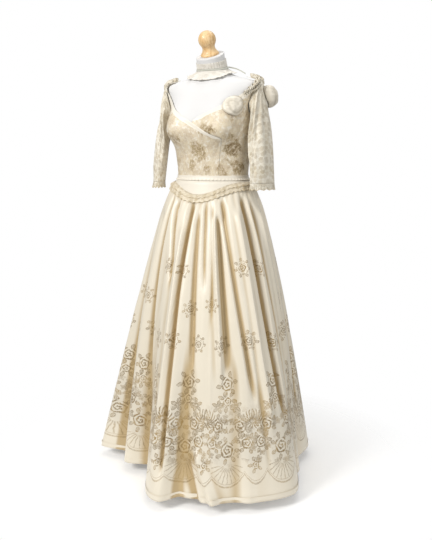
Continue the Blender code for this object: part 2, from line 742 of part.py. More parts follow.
def make_neck(parent):
    angles = [360 * i / NECK_COLUMNS for i in range(NECK_COLUMNS)]
    band = [
        [form_point(a, NECKBAND_FOOT + (NECKBAND_TOP - NECKBAND_FOOT) * share, ON_FORM)
         for a in angles]
        for share in (0.0, 0.5, 1.0)
    ]
    cloth("neckband", band, LACE, parent, closed=True)
    flounce = []
    for share in (1.0, 0.5, 0.0):
        row = []
        for a in angles:
            edge = FLOUNCE_SIDE + (FLOUNCE_FRONT - FLOUNCE_SIDE) * math.cos(math.radians(a)) ** 4
            if math.cos(math.radians(a)) < 0:
                edge = FLOUNCE_SIDE - 0.004 * math.cos(math.radians(a)) ** 2
            wave = math.cos(math.radians(FLOUNCE_WAVES * a))
            level = FLOUNCE_TOP + (edge - 0.0015 * wave - FLOUNCE_TOP) * share
            row.append(form_point(a, level, ON_FORM + 0.0022 * share * (1 + wave)))
        flounce.append(row)
    cloth("neck_flounce", flounce, LACE, parent, closed=True)
    ribbon = [
        [form_point(a, level, out) for a in angles]
        for level, out in ((FLOUNCE_TOP + 0.0010, 0.0030), (NECKBAND_FOOT - 0.0010, 0.0030))
    ]
    cloth("neck_ribbon", ribbon, SATIN, parent, closed=True, thickness=0.0018)


def make_ribbon_tail(parent):
    """The ribbon's free end, which springs out over the back of the left shoulder."""
    root = form_point(118, NECKBAND_FOOT - 0.004, 0.0041)
    tip = Vector((0.102, 0.045, 1.4050))
    rows = []
    for rise in (-0.0022, 0.0022):
        row = []
        for i in range(11):
            share = i / 10
            point = root.lerp(tip, share)
            point.z += 0.004 * math.sin(math.pi * share) + rise
            row.append(point)
        rows.append(row)
    cloth("neck_ribbon_tail", rows, SATIN, parent)


def main():
    for old in list(bpy.data.objects):
        bpy.data.objects.remove(old)
    collection = bpy.data.collections.new(COLLECTION)
    bpy.context.scene.collection.children.link(collection)
    parents = []
    for name in ("stand", "dress"):
        empty = bpy.data.objects.new(name, None)
        collection.objects.link(empty)
        parents.append(empty)
    stand, dress = parents
    make_stand(stand)
    make_torso(stand)
    make_neck_cap(stand)
    make_bodice(dress)
    make_waist(dress)
    make_basque(dress)
    make_basque_lace(dress)
    make_skirt(dress)
    for side, mirror in (("left", False), ("right", True)):
        make_sleeve(side, mirror, dress)
        make_frill(side, mirror, dress)
    make_puffs(dress)
    make_neck(dress)
    make_ribbon_tail(dress)


main()
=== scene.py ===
# An evening dress on a limbless dress form. Metres, +Z up, the front faces -Y and the
# wearer's left is +X. Angles are degrees round the body: 0 centre front, 90 the wearer's left.
import math

import bmesh
import bpy
import numpy as np
from mathutils import Matrix, Vector


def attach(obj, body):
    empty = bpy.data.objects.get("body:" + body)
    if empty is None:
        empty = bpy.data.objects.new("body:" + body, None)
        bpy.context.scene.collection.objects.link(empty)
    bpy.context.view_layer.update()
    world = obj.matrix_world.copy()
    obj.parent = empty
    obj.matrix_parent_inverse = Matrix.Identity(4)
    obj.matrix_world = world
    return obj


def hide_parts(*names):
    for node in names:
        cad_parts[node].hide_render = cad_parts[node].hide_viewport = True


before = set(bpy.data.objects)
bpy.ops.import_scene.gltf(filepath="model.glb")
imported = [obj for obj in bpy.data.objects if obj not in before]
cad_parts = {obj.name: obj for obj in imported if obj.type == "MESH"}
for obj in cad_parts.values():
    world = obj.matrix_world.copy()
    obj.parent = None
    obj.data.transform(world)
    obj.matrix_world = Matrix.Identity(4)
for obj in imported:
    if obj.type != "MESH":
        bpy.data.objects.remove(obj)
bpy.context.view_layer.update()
print("frame loaded,", len(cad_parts), "solids")

# the photograph's camera
camera = {
    "azimuth": 28.0, "height": 1.14, "distance": 2.33, "sideways": 0.0106, "pitch": 10.1,
    "lens": 43.9, "sensor": 36.0,
}


def addObject(name, data):
    obj = bpy.data.objects.new(name, data)
    bpy.context.scene.collection.objects.link(obj)
    return obj


def makeCamera():
    turn = math.radians(camera["azimuth"])
    data = bpy.data.cameras.new("camera")
    data.lens, data.sensor_width = camera["lens"], camera["sensor"]
    obj = addObject("camera", data)
    obj.location = (
        math.sin(turn) * camera["distance"] + math.cos(turn) * camera["sideways"],
        -math.cos(turn) * camera["distance"] + math.sin(turn) * camera["sideways"],
        camera["height"],
    )
    obj.rotation_euler = (math.radians(90 - camera["pitch"]), 0, turn)
    bpy.context.scene.camera = obj


makeCamera()

# curves and sections that every piece is fitted to
formRings = (  # half width, front, back, height at the front, side and back
    (0.1500, 0.0950, 0.1100, 0.820, 0.820, 0.820),
    (0.1640, 0.1040, 0.1240, 0.880, 0.880, 0.880),
    (0.1540, 0.1030, 0.1120, 0.970, 0.970, 0.970),
    (0.1270, 0.0940, 0.0910, 1.060, 1.060, 1.060),
    (0.1330, 0.0980, 0.0970, 1.130, 1.130, 1.130),
    (0.1460, 0.1080, 0.1060, 1.215, 1.215, 1.215),
    (0.1530, 0.1000, 0.1080, 1.290, 1.290, 1.290),
    (0.1680, 0.0880, 0.1040, 1.335, 1.335, 1.337),
    (0.1760, 0.0760, 0.0940, 1.360, 1.357, 1.365),
    (0.1700, 0.0660, 0.0820, 1.377, 1.373, 1.385),
    (0.1300, 0.0580, 0.0700, 1.388, 1.385, 1.399),
    (0.0780, 0.0515, 0.0580, 1.398, 1.399, 1.412),
    (0.0540, 0.0480, 0.0500, 1.409, 1.415, 1.428),
    (0.0485, 0.0470, 0.0470, 1.425, 1.437, 1.453),
    (0.0475, 0.0465, 0.0465, 1.443, 1.4635, 1.484),
)
bust = {"angle": 31.0, "spread": 23.0, "height": 1.215, "above": 0.075, "below": 0.050, "depth": 0.042}
cloth = {"wall": 0.0012, "onForm": 0.0024, "lap": 0.0043, "ease": 0.0032}
bodiceFoot = 1.056
neckLean = {"by": 0.020, "from": 1.398}


def smoothStep(x):
    x = np.clip(x, 0.0, 1.0)
    return x * x * (3 - 2 * x)


def bell(x):
    return np.exp(-(x**2))


def halfTurn(angle):
    # the same direction, between -180 and 180
    return (angle + 180) % 360 - 180


def aroundBody(angle, radius):
    return halfTurn(angle) * np.pi / 180 * radius


def lerp(a, b, t):
    return a + (b - a) * t


def smoothCurve(places, values, place):
    place = min(max(place, places[0]), places[-1])
    last = len(places) - 1
    i = next(k for k in range(last) if place <= places[k + 1])

    def steepness(k):
        return (values[k + 1] - values[k]) / (places[k + 1] - places[k])

    def slope(k):
        if k in (0, last):
            return steepness(min(k, last - 1))
        before, after = steepness(k - 1), steepness(k)
        if before * after <= 0:
            return 0.0
        mean = (values[k + 1] - values[k - 1]) / (places[k + 1] - places[k - 1])
        return math.copysign(min(abs(mean), 2.5 * min(abs(before), abs(after))), mean)

    step = places[i + 1] - places[i]
    t = (place - places[i]) / step
    return (
        values[i] * (2 * t**3 - 3 * t**2 + 1)
        + slope(i) * step * (t**3 - 2 * t**2 + t)
        + values[i + 1] * (3 * t**2 - 2 * t**3)
        + slope(i + 1) * step * (t**3 - t**2)
    )


def readCurve(places, values, at):
    # the same curve, read at many places
    fine = np.linspace(places[0], places[-1], 1400)
    return np.interp(at, fine, [smoothCurve(places, values, p) for p in fine])


ringLevels = [ring[4] for ring in formRings]
fineLevels = np.linspace(ringLevels[0], ringLevels[-1], 2200)
fineRings = [
    np.array([smoothCurve(ringLevels, [ring[f] for ring in formRings], level) for level in fineLevels])
    for f in range(6)
]


def formSurface(angle, level):
    wide, front, back, zFront, zSide, zBack = (np.interp(level, fineLevels, f) for f in fineRings)
    a = np.radians(angle)
    turned = halfTurn(angle)
    rise = (level - bust["height"]) / np.where(level > bust["height"], bust["above"], bust["below"])
    across = sum(bell((turned - s * bust["angle"]) / bust["spread"]) for s in (-1, 1))
    swell = bust["depth"] * across * bell(rise)
    reach = np.where(np.cos(a) > 0, front, back)
    height = zSide + (zFront - zBack) / 2 * np.cos(a) + ((zFront + zBack) / 2 - zSide) * np.cos(a) ** 2
    leant = np.clip((level - neckLean["from"]) / (ringLevels[-1] - neckLean["from"]), 0, 1)
    lean = leant**1.3 * neckLean["by"]
    return np.stack(((wide + swell) * np.sin(a), -(reach + swell) * np.cos(a) - lean, height), -1)


def unit(v):
    return v / np.maximum(np.linalg.norm(v, axis=-1, keepdims=True), 1e-12)


def formPoint(angle, level, out=0.0):
    angle, level = np.broadcast_arrays(np.asarray(angle, float), np.asarray(level, float))
    low, high = np.maximum(level - 0.0015, ringLevels[0]), np.minimum(level + 0.0015, ringLevels[-1])
    along = formSurface(angle, high) - formSurface(angle, low)
    around = formSurface(angle + 0.5, level) - formSurface(angle - 0.5, level)
    return formSurface(angle, level) + unit(np.cross(around, along)) * np.asarray(out)[..., None]


def gridPiece(name, points, closed=False, uv=None, marks=None):
    # a sheet through rows of points: rows go up, points go round by their angle
    points = np.asarray(points, float)
    rows, columns = points.shape[:2]
    j, i = np.meshgrid(np.arange(rows - 1), np.arange(columns if closed else columns - 1), indexing="ij")
    k = (i + 1) % columns
    quads = np.stack((j * columns + i, j * columns + k, (j + 1) * columns + k, (j + 1) * columns + i), -1)
    mesh = bpy.data.meshes.new(name)
    mesh.vertices.add(rows * columns)
    mesh.vertices.foreach_set("co", points.ravel())
    mesh.loops.add(quads.size)
    mesh.loops.foreach_set("vertex_index", quads.ravel())
    mesh.polygons.add(quads.size // 4)
    mesh.polygons.foreach_set("loop_start", np.arange(0, quads.size, 4))
    mesh.update(calc_edges=True)
    if uv is not None:
        corners = np.stack((uv[j, i], uv[j, i + 1], uv[j + 1, i + 1], uv[j + 1, i]), 2)
        mesh.uv_layers.new(name="clothPlace").data.foreach_set("uv", corners.ravel())
    for label, values in (marks or {}).items():
        mark = mesh.attributes.new(label, "FLOAT", "POINT")
        mark.data.foreach_set("value", np.asarray(values, float).ravel())
    mesh.shade_smooth()
    return addObject(name, mesh)


def ringAngles(count):
    return np.arange(count) * 360 / count


def clothMap(across, up):
    # a piece's own map, from one coordinate along its rows and one up them
    return np.stack(np.broadcast_arrays(np.asarray(across)[None], np.asarray(up)[:, None]), -1)


def mirrored(points):
    return (points * (-1, 1, 1))[:, ::-1]


def looped(run):
    return np.concatenate((run, run[:1]))


def settle(obj, material, slot, *nodes):
    obj.data.materials.clear()
    obj.data.materials.append(material)
    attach(obj, "root")
    if nodes:
        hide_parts(*nodes)


def clothe(obj, wall, material, slot, *nodes):
    # a sheet's thickness, then its material
    solid = obj.modifiers.new("wall", "SOLIDIFY")
    solid.thickness, solid.offset = wall, -1.0
    settle(obj, material, slot, *nodes)


# shader maths: a socket that adds Math nodes as it is used in a sum
class Wire:
    def __init__(self, tree, socket):
        self.tree, self.socket = tree, socket

    def math(self, operation, *others, clamp=False):
        node = self.tree.nodes.new("ShaderNodeMath")
        node.operation, node.use_clamp = operation, clamp
        for place, value in enumerate((self,) + others):
            if isinstance(value, Wire):
                self.tree.links.new(value.socket, node.inputs[place])
            else:
                node.inputs[place].default_value = value
        return Wire(self.tree, node.outputs[0])

    def reflected(self, operation, value):
        node = self.tree.nodes.new("ShaderNodeMath")
        node.operation = operation
        node.inputs[0].default_value = value
        self.tree.links.new(self.socket, node.inputs[1])
        return Wire(self.tree, node.outputs[0])

    def __add__(self, other):
        return self.math("ADD", other)

    __radd__ = __add__

    def __sub__(self, other):
        return self.math("SUBTRACT", other)

    def __rsub__(self, other):
        return self.reflected("SUBTRACT", other)

    def __mul__(self, other):
        return self.math("MULTIPLY", other)

    __rmul__ = __mul__

    def __truediv__(self, other):
        return self.math("DIVIDE", other)

    def __rtruediv__(self, other):
        return self.reflected("DIVIDE", other)

    def __abs__(self):
        return self.math("ABSOLUTE")

    def soft(self, edge, width):
        # 1 where the value is below the edge, fading to 0 over the width
        return self.math("MULTIPLY_ADD", -1.0 / width, edge / width + 0.5, clamp=True)

    def line(self, half, width):
        return abs(self).soft(half, width)

    def wave(self):
        return self.math("SINE")

    def part(self):
        return self.math("FRACT")

    def most(self, other):
        return self.math("MAXIMUM", other)

    def least(self, other):
        return self.math("MINIMUM", other)


class Finish:
    # a material whose nodes are added one by one
    def __init__(self, name, roughness=0.5, sheen=0.0, coat=0.0, metallic=0.0, specular=0.5):
        self.material = bpy.data.materials.new(name)
        self.material.use_nodes = True
        self.tree = self.material.node_tree
        self.shader = self.tree.nodes["Principled BSDF"]
        given = {"Roughness": roughness, "Sheen Weight": sheen, "Sheen Roughness": 0.4, "Coat Weight": coat,
                 "Metallic": metallic, "Specular IOR Level": specular}
        for label, value in given.items():
            self.shader.inputs[label].default_value = value

    def node(self, kind, settings=None, sockets=None, output=0):
        node = self.tree.nodes.new(kind)
        for label, value in (settings or {}).items():
            setattr(node, label, value)
        for label, value in (sockets or {}).items():
            if isinstance(value, Wire):
                self.tree.links.new(value.socket, node.inputs[label])
            else:
                node.inputs[label].default_value = value
        return Wire(self.tree, node.outputs[output])

    def place(self, attribute=None):
        # x, y and z of the object, or u and v of the piece's own map
        if attribute == "clothPlace":
            source = self.node("ShaderNodeUVMap", {"uv_map": "clothPlace"})
        else:
            source = self.node("ShaderNodeTexCoord", output="Object")
        split = self.node("ShaderNodeSeparateXYZ", sockets={0: source}).socket.node
        return source, [Wire(self.tree, out) for out in split.outputs]

    def mark(self, label):
        return self.node("ShaderNodeAttribute", {"attribute_name": label}, output="Fac")

    def noise(self, vector, scale, detail=3.0):
        sockets = {"Vector": vector, "Scale": scale, "Detail": detail, "Roughness": 0.55}
        return self.node("ShaderNodeTexNoise", None, sockets, "Fac")

    def join(self, x, y, z=0.0):
        return self.node("ShaderNodeCombineXYZ", None, {0: x, 1: y, 2: z})

    def blend(self, factor, first, second):
        # first where the factor is 0; both are colours or wires
        first, second = (v if isinstance(v, Wire) else (*v, 1) for v in (first, second))
        return self.node("ShaderNodeMix", {"data_type": "RGBA"}, {0: factor, 6: first, 7: second}, output=2)

    def relief(self, height, depth, strength=1.0, under=None):
        sockets = {"Height": height, "Distance": depth, "Strength": strength}
        if under is not None:
            sockets["Normal"] = under
        return self.node("ShaderNodeBump", None, sockets)

    def wear(self, colour=None, normal=None, roughness=None):
        for label, wire in (("Base Color", colour), ("Normal", normal), ("Roughness", roughness)):
            if isinstance(wire, Wire):
                self.tree.links.new(wire.socket, self.shader.inputs[label])
            elif wire is not None:
                self.shader.inputs[label].default_value = (*wire, 1)
        return self.material


# finishes that several pieces share
satin = {"colour": (0.82, 0.77, 0.675), "sheen": 0.15, "pitch": 0.0011, "threadDepth": 0.00012}


def threads(finish, vector, strength=0.35):
    # the fine twill of the satin and its faint unevenness
    _, (x, y, z) = finish.place()
    twill = ((x + y) * 0.7 + z * 1.2) * (2 * math.pi / satin["pitch"])
    weave = twill.wave() * 0.5 + 0.5
    slubs = finish.noise(vector, 160.0, 2.0)
    return finish.relief(weave * 0.4 + slubs, satin["threadDepth"], strength)


def plainSatin(name, colour, roughness=0.40, crease=0.0012, shaded=False):
    finish = Finish(name, roughness, satin["sheen"])
    vector, _ = finish.place()
    cloudy = finish.noise(vector, 9.0, 4.0)
    shade = finish.blend(cloudy, tuple(c * 0.93 for c in colour), tuple(min(c * 1.05, 1) for c in colour))
    if shaded:  # painted shade: the marked pleat creases are painted darker
        shade = finish.blend(finish.mark("paintedShade"), shade, tuple(c * c * 0.62 for c in colour))
    fine = threads(finish, vector)
    rumple = finish.relief(finish.noise(vector, 26.0, 3.0), crease, 0.5, fine)
    rough = finish.noise(vector, 40.0, 3.0) * 0.16 + (roughness - 0.08)
    return finish.wear(shade, rumple, rough)


satinCloth = plainSatin("satin", satin["colour"])
ribbonCloth = plainSatin("ribbon", (0.79, 0.735, 0.63), 0.34, 0.0016, True)
goldThread = plainSatin("gold_thread", (0.76, 0.62, 0.38), 0.5, 0.0002)
neckRibbonCloth = plainSatin("neck_ribbon", (0.60, 0.60, 0.53), 0.34, 0.0004)


# drawn motifs: lines of roses, leaves and ribs, in metres from each motif's centre
def roseLines(x, y, radius, turns=2.5, thick=0.17):
    reach, a = (x * x + y * y).math("SQRT"), y.math("ARCTAN2", x)
    petals = (a * 5.0 + reach * (4.0 / radius)).wave() * 0.13
    ring = (reach * (turns / radius) + a * (1 / (2 * math.pi)) + petals).part() - 0.5
    edge = reach + (a * 5.0).wave() * (radius * 0.07)
    return ring.line(thick, 0.10) * edge.soft(radius, radius * 0.06)


def leafRing(x, y, count, centre, length, width, turn=0.0, thick=0.0009, fill=0.75):
    # leaves standing round a circle, each an outline with its blade partly filled
    reach, a = (x * x + y * y).math("SQRT"), y.math("ARCTAN2", x)
    fan = 2 * math.pi / count
    folded = ((a * (1 / fan) + turn).part() - 0.5) * fan
    along, aside = reach * folded.math("COSINE") - centre, abs(reach * folded.math("SINE"))
    shape = aside - (width - along * along * (width / length**2))
    blade = shape.line(thick, thick).most(shape.soft(0.0, thick) * fill * aside.soft(thick, thick).most(0.45))
    return blade * abs(along).soft(length, thick)


def bloom(x, y, rose, leaves):
    return roseLines(x, y, *rose).most(leafRing(x, y, *leaves))


def sprigCells(finish, s, h, scale, loose):
    # places measured from the middle of uneven cells, and a random number for each cell
    where = finish.join(s, h)
    settings = {"voronoi_dimensions": "2D"}
    sockets = {"Vector": where, "Scale": scale, "Randomness": loose}
    middle = finish.node("ShaderNodeTexVoronoi", settings, sockets, "Position")
    off = finish.node("ShaderNodeVectorMath", {"operation": "SUBTRACT"}, {0: where, 1: middle})
    split = finish.node("ShaderNodeSeparateXYZ", sockets={0: off}).socket.node
    px, py = Wire(finish.tree, split.outputs[0]), Wire(finish.tree, split.outputs[1])
    dice = finish.node("ShaderNodeTexWhiteNoise", {"noise_dimensions": "3D"}, {"Vector": middle}, "Value")
    return px, py, dice


def ribFan(x, y, pitch, curl, inner, outer, half):
    reach, a = (x * x + y * y).math("SQRT"), x.math("ARCTAN2", y)
    rib = (((a + reach * curl) * (1 / pitch) + 0.5).part() - 0.5) * reach * pitch
    return rib.line(half, half) * reach.soft(outer, 0.003) * (1 - reach.soft(inner, 0.003))


# one of these colours is painted shade, the warm ochre laid into the skirt's deep folds
printColours = {
    "ground": (0.810, 0.748, 0.625), "paintedShade": (0.47, 0.335, 0.150), "border": (0.72, 0.672, 0.575),
    "line": (0.215, 0.138, 0.046), "gold": (0.46, 0.30, 0.095),
}
scallops = {
    "fanLow": 0.084, "cusp": 0.122, "fanHalf": 0.060, "swagLow": 0.094, "swagDip": 0.028, "swagHalf": 0.036,
    "focus": 0.158,
}
scattered = {"rise": 0.1165, "middle": 0.53, "low": 0.475, "high": 0.955, "perRepeat": 1.5}
# the border's roses: the line each is measured from, how far from it and how high, then the rose's radius,
# turns and thickness, and its leaves' number, distance, length, width, turn and thickness
borderRoses = (
    ("fan", 0.0, 0.405, (0.0240, 2.2, 0.24), (6, 0.0320, 0.0100, 0.0055, 0.3, 0.0013)),
    ("fan", 0.0, 0.352, (0.0160, 2.0, 0.24), (7, 0.0265, 0.0110, 0.0050, 0.5, 0.0012)),
    ("fan", 0.0, 0.198, (0.0260, 2.3, 0.24), (7, 0.0350, 0.0105, 0.0052, 0.5, 0.0012)),
    ("swagSide", 0.046, 0.275, (0.0225, 2.2, 0.24), (6, 0.0305, 0.0095, 0.0048, 0.0, 0.0012)),
    ("swagSide", 0.026, 0.222, (0.0205, 2.2, 0.24), (6, 0.0285, 0.0085, 0.0044, 0.4, 0.0012)),
    ("swag", 0.0, 0.152, (0.0130, 1.8, 0.24), (5, 0.0195, 0.0080, 0.0042, 0.0, 0.0012)),
)


def skirtPrint():
    # ivory satin with scattered roses and a border of roses over shell and plain scallops
    finish = Finish("skirt_satin", 0.38, 0.12)
    vector, _ = finish.place()
    _, (u, z, _) = finish.place("clothPlace")
    width, paintedShade = finish.mark("repeatWidth"), finish.mark("paintedShade")
    stray = (finish.noise(vector, 75.0, 2.0) - 0.5) * 0.0075
    z = z + (finish.noise(finish.join(z * 8.0, u * 8.0), 9.0, 2.0) - 0.5) * 0.0060
    fanX, swagX = (u.part() - 0.5) * width + stray, ((u + 0.5).part() - 0.5) * width + stray
    fanSide, swagSide = abs(fanX), abs(swagX)
    # scattered roses in half-drop rows, smaller towards the waist
    rise, perRepeat = scattered["rise"], scattered["perRepeat"]
    row = (z - (scattered["middle"] - rise / 2)) * (1 / rise)
    count = row.math("FLOOR")
    shifted = u * perRepeat + count * 0.5
    cell = shifted.math("FLOOR")
    jitter = (cell * 12.9 + count * 7.3).wave() * 0.5
    size = (width * 6.4).least(1.0).most(0.55)
    px = ((shifted.part() - 0.5) * (width / perRepeat) + jitter * 0.010) / size
    py = ((row.part() - 0.5) * rise + (cell * 3.7 + count * 5.1).wave() * 0.010) / size
    region = (1 - z.soft(scattered["low"], 0.004)) * z.soft(scattered["high"], 0.004)
    px, py = px + stray, py + stray * 0.6
    scatter = bloom(px, py, (0.0160, 2.1, 0.27), (8, 0.0225, 0.0026, 0.0062, 0.2, 0.0012))
    scatter = scatter.most(leafRing(px, py, 7, 0.0295, 0.0055, 0.0042, 0.6, 0.0013))
    chance = finish.node("ShaderNodeTexWhiteNoise", {"noise_dimensions": "2D"}, {
        "Vector": finish.join(cell + 0.37, count + 4.21)}, "Value")
    kept = chance.soft(0, 0.02).most(chance.math("LESS_THAN", 1.0 - abs(count) * 0.34))
    scatter = scatter * region * kept
    # the border: a rose stack over each shell, a plume over each swag, roses between
    lines = {"fan": fanX, "swag": swagX, "swagSide": swagSide}
    bold = leafRing(fanSide - 0.034, z - 0.335, 5, 0.0125, 0.0100, 0.0044, 0.1, 0.0012)
    for line, aside, high, rose, leaves in borderRoses:
        bold = bold.most(bloom(lines[line] - aside, z - high, rose, leaves))
    plume = ribFan(swagSide, z - 0.283, 0.30, 14.0, 0.009, 0.044, 0.0019) * (1 - z.soft(0.288, 0.004))
    plume = plume.most(ribFan(swagSide, 0.292 - z, 0.38, -12.0, 0.008, 0.030, 0.0017) * z.soft(0.290, 0.004))
    # shell ribs and the scalloped edge
    cusp, low = scallops["cusp"], scallops["fanLow"]
    fanEdge = fanSide.math("POWER", 2.4) * ((cusp - low) / scallops["fanHalf"] ** 2.4) + low
    dip = scallops["swagDip"] / scallops["swagHalf"] ** 2
    swagEdge = swagSide.math("POWER", 2.0) * dip + scallops["swagLow"]
    edge = fanEdge.least(swagEdge)
    above = z - edge
    rim = above.line(0.0026, 0.0020).most((above - 0.0088).line(0.0012, 0.0012) * 0.8) * 0.62
    shell = ribFan(fanX, scallops["focus"] - z, 0.27, 0.0, 0.016, 0.064, 0.0014)
    shell = shell * z.soft(scallops["focus"] - 0.006, 0.003) * (1 - above.soft(0.010, 0.002))
    shell = shell * fanSide.soft(0.056, 0.002) * 0.62
    # leaf sprigs filling in between the bold motifs
    sx, sy, dice = sprigCells(finish, u * 0.185, z, 40.0, 0.8)
    sprig = bloom(sx, sy, (0.0038, 1.2, 0.24), (5, 0.0068, 0.0058, 0.0028, 0.3, 0.0010))
    zone = z.soft(0.318, 0.05) * (1 - above.soft(0.056, 0.03))
    bold = bold.most(plume).most(rim).most(shell)
    clear = (fanX * fanX + (z - 0.198) * (z - 0.198)).math("SQRT").soft(0.040, 0.010)
    sprig = sprig * zone * dice.soft(0.62, 0.1) * (1 - clear)
    faded = finish.noise(vector, 30.0, 3.0).soft(0.62, 0.30) * 0.35 + 0.65
    broken = finish.noise(vector, 190.0, 2.0).soft(0.56, 0.16) * 0.55 + 0.45
    ink = scatter.most(bold).most(sprig * 0.8) * faded * broken.most(rim)
    cloudy = finish.noise(vector, 7.0, 4.0)
    shadow = tuple(c * 0.94 for c in printColours["ground"])
    ground = finish.blend(cloudy * 0.8, printColours["ground"], shadow)
    ground = finish.blend(zone * 0.6, ground, printColours["border"])
    # painted shade: the ground turns ochre where the folds sink in
    ground = finish.blend(paintedShade, ground, printColours["paintedShade"])
    gilt = finish.noise(vector, 26.0, 2.0).soft(0.5, 0.12)
    line = finish.blend(gilt * 0.55, printColours["line"], printColours["gold"])
    shade = finish.blend(ink * 0.92, ground, line)
    fine = threads(finish, vector, 0.3)
    crumple = finish.relief(finish.noise(vector, 22.0, 4.0), 0.0024, 0.5, fine)
    raised = finish.relief(ink, 0.0006, 0.6, crumple)
    return finish.wear(shade, raised, finish.noise(vector, 40.0, 3.0) * 0.16 + ink * 0.18 + 0.29)


brocade = {  # angle and height of each cluster's middle, its radius, and how dark it is
    "clusters": (
        # the clusters at 57 degrees under the wearer's left bust and at 14 and 24 degrees just above the wrap's
        # edge are pattern drawn darker with painted shade
        (0, 1.140, 0.031, 0.75), (57, 1.150, 0.031, 1.0), (-38, 1.187, 0.022, 0.7), (-16, 1.094, 0.019, 0.6),
        (15, 1.082, 0.016, 0.55), (14, 1.222, 0.018, 0.8), (24, 1.208, 0.018, 1.0), (50, 1.185, 0.014, 0.8),
        (44, 1.086, 0.020, 0.6), (70, 1.092, 0.024, 0.8), (-62, 1.112, 0.024, 0.6), (-70, 1.200, 0.020, 0.6),
        (84, 1.205, 0.024, 0.8), (100, 1.130, 0.028, 0.8), (132, 1.185, 0.028, 0.7), (160, 1.110, 0.026, 0.7),
        (-100, 1.150, 0.028, 0.7), (-132, 1.200, 0.026, 0.7), (-158, 1.120, 0.028, 0.7),
        (170, 1.225, 0.022, 0.6), (52, 1.262, 0.018, 0.5), (2, 1.262, 0.016, 0.4)),
    "ground": (0.83, 0.775, 0.665), "tan": (0.47, 0.325, 0.150), "dark": (0.20, 0.130, 0.048),
    "gold": (0.66, 0.52, 0.29), "band": (0.90, 0.86, 0.77), "bandWidth": 0.031, "girthRadius": 0.140,
}


def brocadeCloth():
    finish = Finish("brocade", 0.40, 0.12)
    vector, (x, y, z) = finish.place()
    around = x.math("ARCTAN2", y * -1.0) * brocade["girthRadius"]
    wander = (finish.noise(vector, 42.0, 3.0) - 0.5) * 0.075
    cover = None
    for angle, height, radius, strength in brocade["clusters"]:
        dx, dz = around - math.radians(angle) * brocade["girthRadius"], z - height
        spot = ((dx * dx + dz * dz).math("SQRT") + wander).soft(radius, 0.012) * strength
        cover = spot if cover is None else cover.most(spot)
    px, pz, dice = sprigCells(finish, around, z, 44.0, 0.85)
    flowers = bloom(px, pz, (0.0080, 1.8, 0.26), (6, 0.0105, 0.0050, 0.0030, 0.1, 0.0008, 0.9))
    fx, fz, _ = sprigCells(finish, around + 0.011, z, 95.0, 0.9)
    leaves = leafRing(fx, fz, 5, 0.0036, 0.0030, 0.0016, 0.1, 0.0006, 0.9)
    band = finish.mark("neckEdge").soft(brocade["bandWidth"], 0.003)
    mottled = finish.noise(vector, 120.0, 2.0).soft(0.52, 0.14) * 0.65 + 0.35
    cover = cover * mottled * (1 - band)
    shadow = tuple(c * 0.93 for c in brocade["ground"])
    ground = finish.blend(finish.noise(vector, 10.0, 4.0), brocade["ground"], shadow)
    ground = finish.blend(band * 0.7, ground, brocade["band"])
    tone = finish.blend(finish.noise(vector, 60.0, 2.0).soft(0.5, 0.2), brocade["tan"], brocade["gold"])
    ground = finish.blend(cover * 0.62, ground, tone)
    work = flowers * (cover * 0.75 + dice.soft(0.72, 0.1) * 0.62).least(1.0)
    work = work.most(leaves * (cover * 0.45 + 0.48)) * (1 - band)
    thread = finish.blend(cover, tone, brocade["dark"])
    shade = finish.blend(work, ground, thread)
    woven = finish.relief(work, 0.0008, 0.6, threads(finish, vector))
    return finish.wear(shade, woven, finish.noise(vector, 40.0, 3.0) * 0.14 + cover * 0.18 + 0.30)


laceColours = {"net": (0.72, 0.66, 0.53), "pale": (0.83, 0.785, 0.68), "gold": (0.45, 0.33, 0.145),
               "brown": (0.33, 0.25, 0.125), "neck": (0.80, 0.77, 0.71), "trim": (0.74, 0.655, 0.50)}


def threadWeb(finish, where, scale, edge, width, loose):
    # threads along the edges of uneven cells
    settings = {"feature": "DISTANCE_TO_EDGE", "voronoi_dimensions": "2D"}
    sockets = {"Vector": where, "Scale": scale, "Randomness": loose}
    return finish.node("ShaderNodeTexVoronoi", settings, sockets, "Distance").soft(edge, width)


def laceCloth(name, wide, tall, dense=0.5, gold=0.6, ground=None):
    # cream net worked with small gold flowers; wide and tall are the metres in one unit of the piece's map
    finish = Finish(name, 0.66, 0.2)
    vector, _ = finish.place()
    _, (u, v, _) = finish.place("clothPlace")
    s, h = u * wide, v * tall
    px, py, dice = sprigCells(finish, s, h, 62.0, 0.8)
    flower = bloom(px, py, (0.0026, 1.4, 0.22), (6, 0.0044, 0.0032, 0.0017, 0.2, 0.0006))
    vine = threadWeb(finish, finish.join(s, h), 90.0, 0.045, 0.03, 1.0)
    net = threadWeb(finish, finish.join(s, h), 420.0, 0.16, 0.1, 0.3)
    worked = (flower * (dice * 0.6 + 0.4)).most(vine * 0.45)
    patches = finish.noise(vector, 30.0, 3.0).soft(0.5, 0.25)
    shade = finish.blend(patches, ground or laceColours["net"], ground or laceColours["pale"])
    shade = finish.blend(net * 0.35, shade, (0.89, 0.86, 0.79))
    browner = finish.noise(vector, 22.0, 2.0).soft(dense, 0.16)
    thread = finish.blend(browner, laceColours["gold"], laceColours["brown"])
    shade = finish.blend(worked * gold, shade, thread)
    under = finish.relief(net, 0.0003, 0.5)
    return finish.wear(shade, finish.relief(worked, 0.0008, 0.7, under), worked * -0.15 + 0.70)


